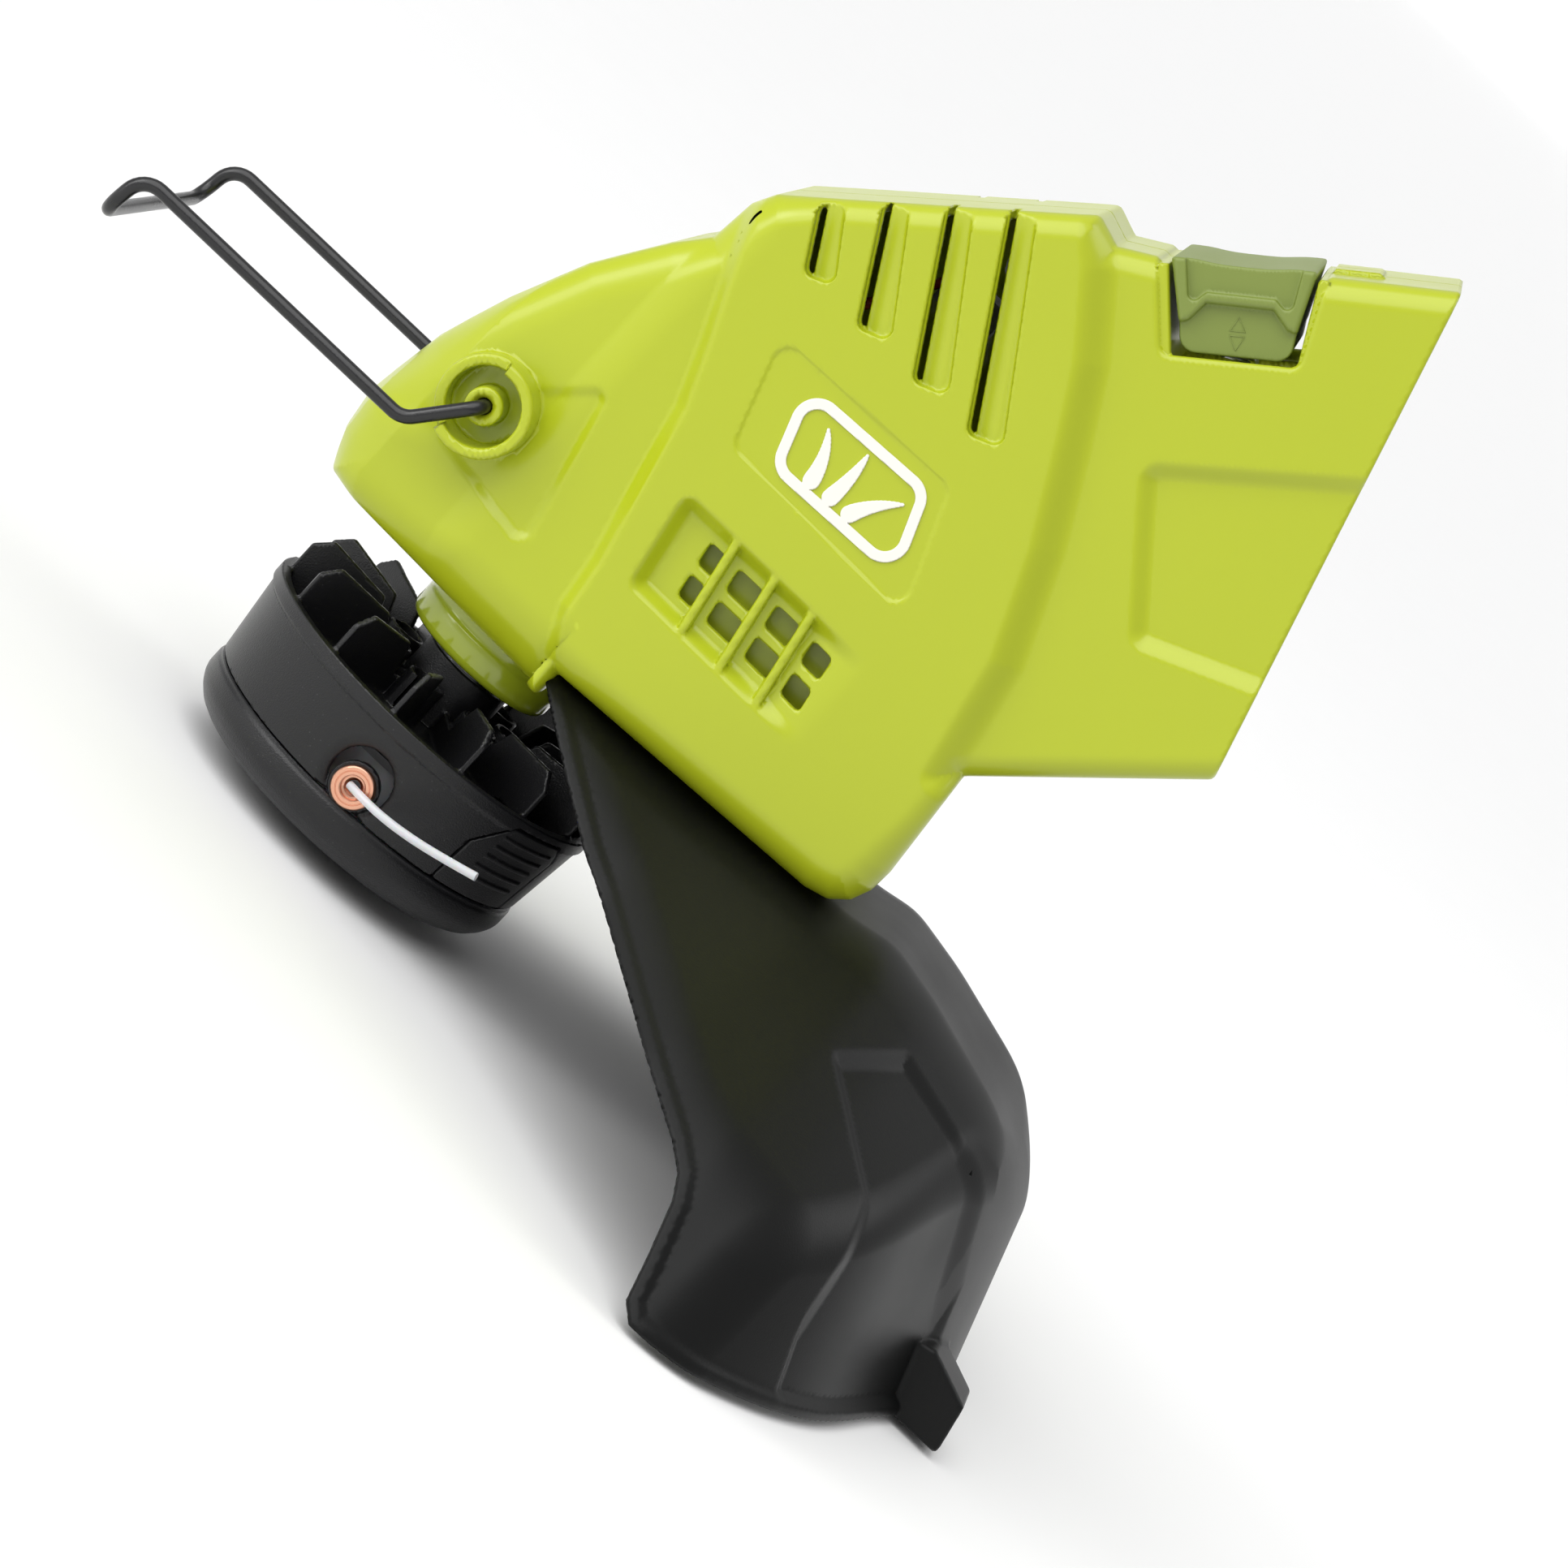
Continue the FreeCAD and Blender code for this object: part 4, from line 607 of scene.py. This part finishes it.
BADGE_CORNERS = [(16, 163.5), (51, 164.8), (58.5, 146.4), (22.5, 145.4)]
BADGE_FACE = 44.75
BADGE_HALF = 0.32
GRASS_BLADES = [((30.5, 148.6), (29.5, 155), (25.5, 159.8)), ((36.3, 148.8), (37, 156), (36, 161.6)),
                ((42, 149), (44.4, 154.6), (49.4, 159))]


def grass_blade(x, z, root, middle, tip):
    """A blade that bends as a quadratic curve and tapers to its tip."""
    best = np.full(x.shape, FAR)
    steps = np.linspace(0, 1, 14)
    for t, after in zip(steps[:-1], steps[1:]):
        ends = [[(1 - k) ** 2 * a + 2 * k * (1 - k) * b + k * k * c for a, b, c in zip(root, middle, tip)]
                for k in (t, after)]
        way = np.subtract(ends[1], ends[0])
        share = np.clip(((x - ends[0][0]) * way[0] + (z - ends[0][1]) * way[1]) / (way @ way), 0, 1)
        gap = np.hypot(x - ends[0][0] - share * way[0], z - ends[0][1] - share * way[1])
        best = np.minimum(best, gap - 1.9 * (1 - t) ** 0.7 - 0.12)
    return best


def badge_form(x, y, z):
    """A rounded ring with blades of grass in it, the same on both sides."""
    ring = np.abs(outline(x, z, BADGE_CORNERS, 5)) - 1.3
    for blade in GRASS_BLADES:
        ring = np.minimum(ring, grass_blade(x, z, *blade))
    return round_both(ring, np.abs(np.abs(y) - BADGE_FACE) - BADGE_HALF, 0.12)


def badges():
    for side, low, high in (("left", -46, -44), ("right", 44, 46)):
        nodes = ["side_badges"] if side == "left" else []
        moulded("badge_" + side, badge_form, (8, low, 140), (66, high, 170), 0.28, CREAM, "housing",
                nodes)


# ---------------------------------------------------------------- lock button

SADDLE = [(-16.7, 1.3), (16.7, 1.3), (13.4, -13.6), (11.2, -12.8), (7.6, -8.6), (-7.6, -8.6), (-11.2, -12.8),
          (-13.4, -13.6)]
SADDLE_POCKET = [(-13.6, 3), (13.6, 3), (11.6, -9.8), (7.8, -6.2), (-7.8, -6.2), (-11.6, -9.8)]
SKIRT = [(-14.2, -6), (14.2, -6), (12.6, -20.2), (-12.6, -20.2)]
BUTTON_HOLLOW = [(-13, -1.8), (13, -1.8), (9.5, -24), (-9.5, -24)]
SADDLE_HALF = 39.4
POCKET_HALF = 37.7
SKIRT_HALF = 36.9
HOLLOW_HALF = 34.2
ARROW_WIRE = 0.22


def button_form(x, y, z):
    """A saddle over the neck, with a skirt down each side and a pawl under it."""
    along, rise = neck_frame(x, z)
    out = np.abs(y)
    saddle = round_both(outline(along, rise, SADDLE, 0.9), out - SADDLE_HALF, 1.2)
    dish = 1.3 - 1.0 * soft(1 - (along / 13) ** 2)
    saddle = round_both(saddle, rise - dish, 0.8)
    pocket = round_both(outline(along, rise, SADDLE_POCKET, 1.5), POCKET_HALF - out, 0.5)
    saddle = carve(saddle, pocket, 0.5)
    skirt = round_both(outline(along, rise, SKIRT, 4), out - SKIRT_HALF, 0.5)
    form = fillet_join(saddle, skirt, 0.5)
    inner = round_both(outline(along, rise, BUTTON_HOLLOW, 1), out - HOLLOW_HALF, 0.5)
    form = carve(form, inner, 0.4)
    pawl = box(along, y, rise, (0, 0, -10.2), (4, 5, 8.6), 0.8)
    return np.minimum(form, pawl)


def arrow(name, tip, base):
    """One small raised triangle, which shows that the head tilts."""
    places = []
    for along, rise in (tip, (-base[0], base[1]), base):
        x = NECK_MIDDLE[0] + along * NECK_WAY[0] - rise * NECK_WAY[1]
        z = NECK_MIDDLE[1] + along * NECK_WAY[1] + rise * NECK_WAY[0]
        places.append((x, -SKIRT_HALF - 0.02, z))
    piece = round_curve(name, "POLY", places, ARROW_WIRE, BUTTON_GREEN, "button", sections=4, closed=True)
    finished(piece)


def lock_button():
    moulded("button", button_form, (52, -41, 222), (96, 41, 266), 0.6, BUTTON_GREEN, "button",
            ["lock_button"])
    arrow("arrow_up", (0, -11.2), (1.7, -14.3))
    arrow("arrow_down", (0, -18.6), (1.7, -15.4))


# ---------------------------------------------------------------- spool head

RIM_RADIUS = 49.5
SPLIT_RADIUS = 46.3
RIM_Z = 43.0
SPLIT_Z = 18.5
TAPER = (RIM_RADIUS - SPLIT_RADIUS) / (RIM_Z - SPLIT_Z)
BLADE_COUNT = 14
BLADE_START = 8.7
EYELET_Z = 23.6
EYELET_TURNS = {"near": -88.0, "far": 92.0}
TAB_TURNS = {"a": -34.0, "b": 146.0}
TAB = [(-14.6, 18.6), (14.6, 18.6), (14.6, 35.5), (10.5, 40.3), (-7.5, 40.3), (-14.6, 31.5)]
TAB_GAP = 0.55
TAB_THICK = 2.3
RIDGE_PITCH = 3.2
RIDGE_HEIGHT = 0.45
ARC_RADIUS = 47.5
CUP_REACH = 51
HUB_RADIUS = 7.05
CUP_PROFILE = [
    (HUB_RADIUS, 36.1), (46.2, 36.1), (44.1, SPLIT_Z), (SPLIT_RADIUS, SPLIT_Z), (48.7, 38.8), (49.5, 39.6),
    (RIM_RADIUS, RIM_Z), (46.6, RIM_Z), (46.2, 38.5), (12, 38.5), (12, 54), (HUB_RADIUS, 54),
]
BLADE = [(10, 37.2), (47.4, 37.2), (47.4, 51), (43.5, 55), (26, 53), (22.5, 44), (10, 44)]
BLADE_HALF = 0.8
LUG_CIRCLE = 19
LUG_RADIUS = 4.6
PAD_RADIUS = 6.2
EYELET_HOLE = 3.15
COVER_PROFILE = [
    (17.6, 2.3), (24, 3.1), (24.6, 3.7), (26, 3.8), (26.6, 3.5), (41.0, 6.2), (43.4, 7.6), (45.2, 9.6),
    (46.2, 11.4), (46.6, 12.8), (46.6, 16.6), (46.2, 17.2), (46.2, 18.2), (44.1, 18.2), (44.1, 13),
    (42.8, 10.8), (41.2, 9), (17.6, 4.9),
]
KNOB_PROFILE = [
    (0.01, 0.5), (5.5, 0.5), (6, 0), (13.4, 0), (15.2, 0.3), (16.4, 1), (17.1, 2.4), (17.2, 3.2), (17.2, 9),
    (15.6, 9), (15.6, 29.6), (12, 29.6), (12, 12), (0.01, 12),
]
EYELET_PROFILE = [
    (43, 1.6), (45.2, 1.6), (46.0, 2.3), (46.1, 2.8), (47.2, 2.95), (47.5, 3.2), (47.5, 3.9),
    (47.36, 4.0), (47.36, 4.12), (47.5, 4.22), (47.5, 4.9), (47.2, 5.25), (46.8, 5.4), (46.1, 5.4),
    (46.05, 3.05), (43, 3.05),
]
EYELET_SIDES = 64
COLLAR_PROFILE = [
    (10.5, 56), (18.6, 56), (19.8, 56.6), (20.5, 58), (20.5, 63.2), (20.0, 63.9), (20.0, 66.4), (20.5, 67),
    (20.5, 77.6), (24, 77.6), (24, 80.6), (10.5, 80.6),
]


def cup_outside(z):
    """The cup's outer radius at a height."""
    return SPLIT_RADIUS + TAPER * (z - SPLIT_Z)


def turned_to(x, y, degrees):
    """Outward and crosswise coordinates, seen from a direction round the spindle."""
    turn = math.radians(degrees)
    return x * math.cos(turn) + y * math.sin(turn), -x * math.sin(turn) + y * math.cos(turn)


def set_round(out, across, degrees):
    """The place that has those coordinates, seen from a direction round the spindle."""
    turn = math.radians(degrees)
    return out * math.cos(turn) - across * math.sin(turn), out * math.sin(turn) + across * math.cos(turn)


def arc_from(x, y, degrees):
    """Length round the cup's wall from a direction, in millimetres."""
    out, across = turned_to(x, y, degrees)
    return np.arctan2(across, out) * ARC_RADIUS


def cup_form(x, y, z):
    """The cup with its fan blades, lug rings, dished eyelet seats and tab windows."""
    r = np.hypot(x, y)
    wall = outline(r, z, CUP_PROFILE, 0.35)
    pitch = 2 * math.pi / BLADE_COUNT
    turn = (np.arctan2(y, x) - math.radians(BLADE_START) + pitch / 2) % pitch - pitch / 2
    out = r * np.cos(turn)
    across = np.abs(r * np.sin(turn))
    blade = outline(out, z, BLADE, 1.2)
    form = fillet_join(wall, round_both(blade, across - BLADE_HALF, 0.45), 0.8)
    ring_turn = (np.arctan2(y, x) + pitch) % (2 * pitch) - pitch
    lug = np.hypot(r * np.cos(ring_turn) - LUG_CIRCLE, r * np.sin(ring_turn))
    lugs = round_both(np.abs(lug - LUG_RADIUS) - 0.6, np.abs(z - 43) - 5.5, 0.3)
    form = fillet_join(form, np.maximum(lugs, r - 23.5), 0.5)
    for turn in EYELET_TURNS.values():
        out, across = turned_to(x, y, turn)
        dish = np.sqrt((out - 56.2) ** 2 + (across * 0.93) ** 2 + ((z - 24.5) * 0.97) ** 2) - 13.2
        form = carve(form, dish, 1.2)
        pad = np.maximum(disc(across, z, (0, EYELET_Z), PAD_RADIUS), np.abs(out - 44.9) - 1.1)
        form = fillet_join(form, pad, 0.6)
        form = carve(form, np.maximum(disc(across, z, (0, EYELET_Z), EYELET_HOLE), 30 - out), 0.2)
    for turn in TAB_TURNS.values():
        arc = arc_from(x, y, turn)
        form = carve(form, np.maximum(outline(arc, z, TAB) - TAB_GAP, 36 - r), 0.3)
    return form


def tab_form(turn):
    """The field of a ridged release tab that faces that direction."""
    def form(x, y, z):
        r = np.hypot(x, y)
        arc = arc_from(x, y, turn)
        phase = np.abs((z - 22.6) % RIDGE_PITCH - RIDGE_PITCH / 2)
        ridges = RIDGE_HEIGHT * soft(1.35 - phase / 0.55) * (np.abs(arc - 1) < 9.5)
        ridges = ridges * (z > 22) * (z < 37.5)
        face = round_both(outline(arc, z, TAB, 1.0), r - cup_outside(z) + 0.12 - ridges, 0.4)
        return round_both(face, cup_outside(z) - TAB_THICK - r, 0.4)
    return form


def spool_head():
    reach = CUP_REACH
    moulded("cup", cup_form, (-reach, -reach, 17), (reach, reach, 57), 0.72, BLACK, "spindle",
            ["spool_cup"])
    for side, turn in TAB_TURNS.items():
        middle = set_round(45, 0, turn)
        low = (middle[0] - 16, middle[1] - 16, 17)
        high = (middle[0] + 16, middle[1] + 16, 42)
        moulded("release_tab_" + side, tab_form(turn), low, high, 0.5, BLACK, "tab_" + side,
                ["cover_tab_" + side])
    lathe("cover", COVER_PROFILE, BLACK, "cover", ["spool_cover"], 192)
    lathe("knob", KNOB_PROFILE, BLACK, "knob", ["bump_knob"])


def eyelets():
    """Copper rings that the line leaves through."""
    count = len(EYELET_PROFILE)
    for side, turn in EYELET_TURNS.items():
        points = []
        faces = []
        for k in range(EYELET_SIDES):
            angle = 2 * math.pi * k / EYELET_SIDES
            after = (k + 1) % EYELET_SIDES
            for i, (out, radius) in enumerate(EYELET_PROFILE):
                place = set_round(out, radius * math.cos(angle), turn)
                points.append((*place, EYELET_Z + radius * math.sin(angle)))
                up = (i + 1) % count
                faces.append((k * count + i, k * count + up, after * count + up, after * count + i))
        piece = mesh_piece("eyelet_" + side, points, faces, COPPER, "spindle")
        piece.data.set_sharp_from_angle(angle=math.radians(32))
        finished(piece, ["line_eyelets"] if side == "near" else ())


LINE_ROUTE = [(46.2, -1.0, -0.1), (50.8, 5.4, 0.4), (54.3, 14.2, 1.7), (57.3, 24.6, 4.2), (59.5, 34.8, 7.3)]
LINE_DIAMETER = 0.0021


def cutting_lines():
    """The two cut ends of the line. Each follows the route from its eyelet."""
    for side, turn in EYELET_TURNS.items():
        places = [(*set_round(out, across, turn), EYELET_Z + up) for out, across, up in LINE_ROUTE]
        piece = round_curve("cut_line_" + side, "NURBS", places, LINE_DIAMETER / 2 / MM, NYLON, "spindle")
        finished(piece, ["line_end_" + side])


def collar():
    lathe("collar", COLLAR_PROFILE, COLLAR_GREEN, "housing", ["spindle_collar"])


# ---------------------------------------------------------------- edge guard

GUARD_SIDE = [(-47.5, 94.8), (-128.2, 94.8), (-130.0, 82.5)]
GUARD_HALF = 49.0
GUARD_PIN = 37.0
GUARD_WIRE = 3.5
GUARD_BENDS = [3.5] + [6.0] * 6 + [3.5]
BEND_STEPS = 8


def rounded_line(points, radii):
    """Straight runs joined by arcs, as a list of points."""
    made = [points[0]]
    for before, here, after, radius in zip(points, points[1:], points[2:], radii):
        to_before = (before - here).normalized()
        to_after = (after - here).normalized()
        half = to_before.angle(to_after) / 2
        centre = here + (to_before + to_after).normalized() * radius / math.sin(half)
        start = here + to_before * radius / math.tan(half) - centre
        end = here + to_after * radius / math.tan(half) - centre
        for k in range(BEND_STEPS + 1):
            made.append(centre + start.slerp(end, k / BEND_STEPS) * radius)
    made.append(points[-1])
    return made


def edge_guard():
    near = [Vector((PIVOT[0], -GUARD_PIN, PIVOT[1])), Vector((PIVOT[0], -GUARD_HALF, PIVOT[1]))]
    near += [Vector((x, -GUARD_HALF, z)) for x, z in GUARD_SIDE]
    far = [Vector((p.x, -p.y, p.z)) for p in reversed(near)]
    route = rounded_line(near + far, GUARD_BENDS)
    piece = round_curve("guard_wire", "POLY", route, GUARD_WIRE / 2, WIRE_BLACK, "guard")
    finished(piece, ["wire_guard"])


# ---------------------------------------------------------------- shield

SHIELD_WALL = 3.0
SHIELD_RADIUS = 203.0
SHIELD_LEAN = math.tan(math.radians(19.7))
SHIELD_FLAT = 38.0
SHIELD_LOW = 2.0
SHIELD_DIP = 6.5
DIP_MIDDLE = 55
DIP_WIDTH = 42
BEAD_HEIGHT = 0.9
PANEL_DEPTH = 1.5
CUTTER_Y = -31.5
CUTTER_HALF = 9.5
CUTTER_SIDE = [(176, 17.5), (189.5, 20.2), (203.4, 14.8), (206.3, SHIELD_LOW), (183, SHIELD_LOW)]
ROOF = np.array([  # x, crown height, shoulder half width, shoulder height, drop per width of the side
    (10, 74.3, 46, 73.0, 3.2), (60, 75.6, 76, 55.0, 3.0), (94, 77.5, 109, 44.0, 2.2),
    (107, 78.2, 119, 40.0, 1.9),
    (118, 80.4, 125, 38.0, 1.8), (135, 77.0, 127, 36.5, 1.7), (160, 69.6, 129, 34.0, 1.6),
    (184, 58.0, 127, 28.0, 1.5), (215, 41.0, 127, 16.0, 1.5),
])
SHIELD_KEEP = [
    (10, 150), (10, 74.4), (19, 70.4), (51, 54.5), (109, 32.6), (114.6, 29.4), (117.8, 25), (122, 14),
    (125, 5), (129, SHIELD_LOW), (230, SHIELD_LOW), (230, 150),
]
PANEL = [  # recessed panel on each side of the roof, seen from above: x and distance from the middle
    (122, 75), (136, 53), (160, 53), (178, 39), (184, 32), (230, 24), (230, 116), (157, 116), (154, 108),
    (149, 98), (136, 87),
]


def smooth_table(column, width=13):
    """A column of the roof's table against x, with its corners smoothed away."""
    places = np.arange(-40, 270)
    window = np.hanning(width + 2)[1:-1]
    values = np.interp(places, ROOF[:, 0], ROOF[:, column])
    padded = np.pad(values, width // 2, mode="edge")
    return places, np.convolve(padded, window / window.sum(), "valid")


ROOF_CURVES = [smooth_table(column) for column in range(1, 5)]


def shield_outside(x, y, z):
    """The shield's outside: a crown, two slanted shoulders, steep sides, and a cone at the rear."""
    crown, shoulder, shoulder_z, drop = (np.interp(x, *curve) for curve in ROOF_CURVES)
    out = np.abs(y)
    fall = crown - shoulder_z
    run = shoulder - SHIELD_FLAT
    slant = np.hypot(fall, run)
    top = z - crown
    slope = ((out - SHIELD_FLAT) * fall + (z - crown) * run) / slant
    side = ((out - shoulder) * drop + (z - shoulder_z)) / np.hypot(drop, 1)
    turn_top = 1 - run / slant
    turn_side = 1 - (fall * drop + run) / slant / np.hypot(drop, 1)
    hood = round_both(round_both(top, slope, 60 * turn_top), side, 45 * turn_side)
    radius = SHIELD_RADIUS - SHIELD_DIP * np.exp(-((out - DIP_MIDDLE) / DIP_WIDTH) ** 2)
    cone = np.hypot(x, y) - radius - (SHIELD_LOW - z) * SHIELD_LEAN
    return round_both(hood, cone / math.hypot(1, SHIELD_LEAN), 8)


def shield_form(x, y, z):
    """The hollow hood, cut to its side outline, with a beaded edge and a recessed panel each side."""
    outside = shield_outside(x, y, z)
    keep = outline(x, z, SHIELD_KEEP)
    bead = BEAD_HEIGHT * soft((4.6 + keep) / 2.2) * soft((x - 14) / 10)
    sunk = PANEL_DEPTH * inside_step(x, np.abs(y), PANEL, 3, 5, 0.1) * (1 - bead)
    form = carve(outside - bead + sunk, outside + SHIELD_WALL + sunk, 0.4)
    form = round_both(form, keep, 1.3)
    return carve(form, np.maximum(np.hypot(x, y) - 21, z - 90), 0.5)


def cutter_wedge(x, y, z):
    """The block outside that shows where the line is cut."""
    return round_both(outline(x, z, CUTTER_SIDE, 1.2), np.abs(y - CUTTER_Y) - CUTTER_HALF, 1.2)


def shield_whole(x, y, z):
    form = fillet_join(shield_form(x, y, z), cutter_wedge(x, y, z), 1.0)
    seat = box(x, y, z, (185, CUTTER_Y, 10), (11, CUTTER_HALF, 6), 0.8)
    return np.minimum(form, seat)


def shield():
    moulded("rear_shield", shield_whole, (6, -150, 0), (210, 150, 84), 1.15, SHIELD_BLACK, "housing",
            ["shield"])


# ---------------------------------------------------------------- stage

FLOOR_HALF = 60.0
BACK_WALL = 8.0
WORLD_LIGHT = 0.50
SUN_FROM = (-0.55, -0.75, 1.0)
SUN_STRENGTH = 2.35
SUN_WIDTH = math.radians(70)
LAMPS = [  # name, place, what it points at, width and height, power
    ("side", (-1.3, -0.7, 0.55), (0.0, 0, 0.12), (0.5, 0.9), 5),
    ("rear", (1.0, 0.5, 1.2), (0.1, 0, 0.10), (0.7, 0.7), 3),
]


def stage():
    """A pale floor with a wall far behind it, in even light."""
    floor = bpy.data.meshes.new("floor")
    half = FLOOR_HALF
    points = [(-half, -half, 0), (half, -half, 0), (half, half, 0), (-half, half, 0),
              (half, half, BACK_WALL), (-half, half, BACK_WALL)]
    floor.from_pydata(points, [], [(0, 1, 2, 3), (3, 2, 4, 5)])
    floor.materials.append(FLOOR)
    ground = bpy.data.objects.new("floor", floor)
    bpy.context.scene.collection.objects.link(ground)

    world = bpy.data.worlds.new("studio")
    bpy.context.scene.world = world
    world.use_nodes = True
    world.node_tree.nodes["Background"].inputs["Color"].default_value = (1, 1, 1, 1)
    world.node_tree.nodes["Background"].inputs["Strength"].default_value = WORLD_LIGHT
    bpy.context.scene.view_settings.view_transform = "Standard"


def lamp(name, at, aim, size, power):
    light = bpy.data.lights.new(name, "AREA")
    light.shape = "RECTANGLE"
    light.size = size[0]
    light.size_y = size[1]
    light.energy = power
    item = bpy.data.objects.new(name, light)
    item.location = at
    item.rotation_euler = (Vector(aim) - Vector(at)).to_track_quat("-Z", "Y").to_euler()
    bpy.context.scene.collection.objects.link(item)


def sun():
    light = bpy.data.lights.new("sun", "SUN")
    light.energy = SUN_STRENGTH
    light.angle = SUN_WIDTH
    item = bpy.data.objects.new("sun", light)
    item.rotation_euler = Vector(SUN_FROM).to_track_quat("Z", "Y").to_euler()
    bpy.context.scene.collection.objects.link(item)


CAMERA_AIM = Vector((0.07341, 0.0, 0.08548))
CAMERA_DISTANCE = 1.4
CAMERA_RISE = math.radians(10)
CAMERA_ROLL = math.radians(43.4)
CAMERA_LENS = 135.65
CAMERA_SENSOR = 36


def camera():
    """Looks straight at the left side from a little above, rolled as in the photograph."""
    lens = bpy.data.cameras.new("camera")
    lens.lens = CAMERA_LENS
    lens.sensor_width = CAMERA_SENSOR
    item = bpy.data.objects.new("camera", lens)
    back = Vector((0, -math.cos(CAMERA_RISE), math.sin(CAMERA_RISE)))
    level = Vector((1, 0, 0))
    upright = back.cross(level)
    right = math.cos(CAMERA_ROLL) * level + math.sin(CAMERA_ROLL) * upright
    up = back.cross(right)
    turn = Matrix((right, up, back)).transposed().to_4x4()
    item.matrix_world = Matrix.Translation(CAMERA_AIM + back * CAMERA_DISTANCE) @ turn
    bpy.context.scene.collection.objects.link(item)
    bpy.context.scene.camera = item


housing()
badges()
lock_button()
spool_head()
eyelets()
cutting_lines()
collar()
edge_guard()
shield()
stage()
sun()
for settings in LAMPS:
    lamp(*settings)
camera()
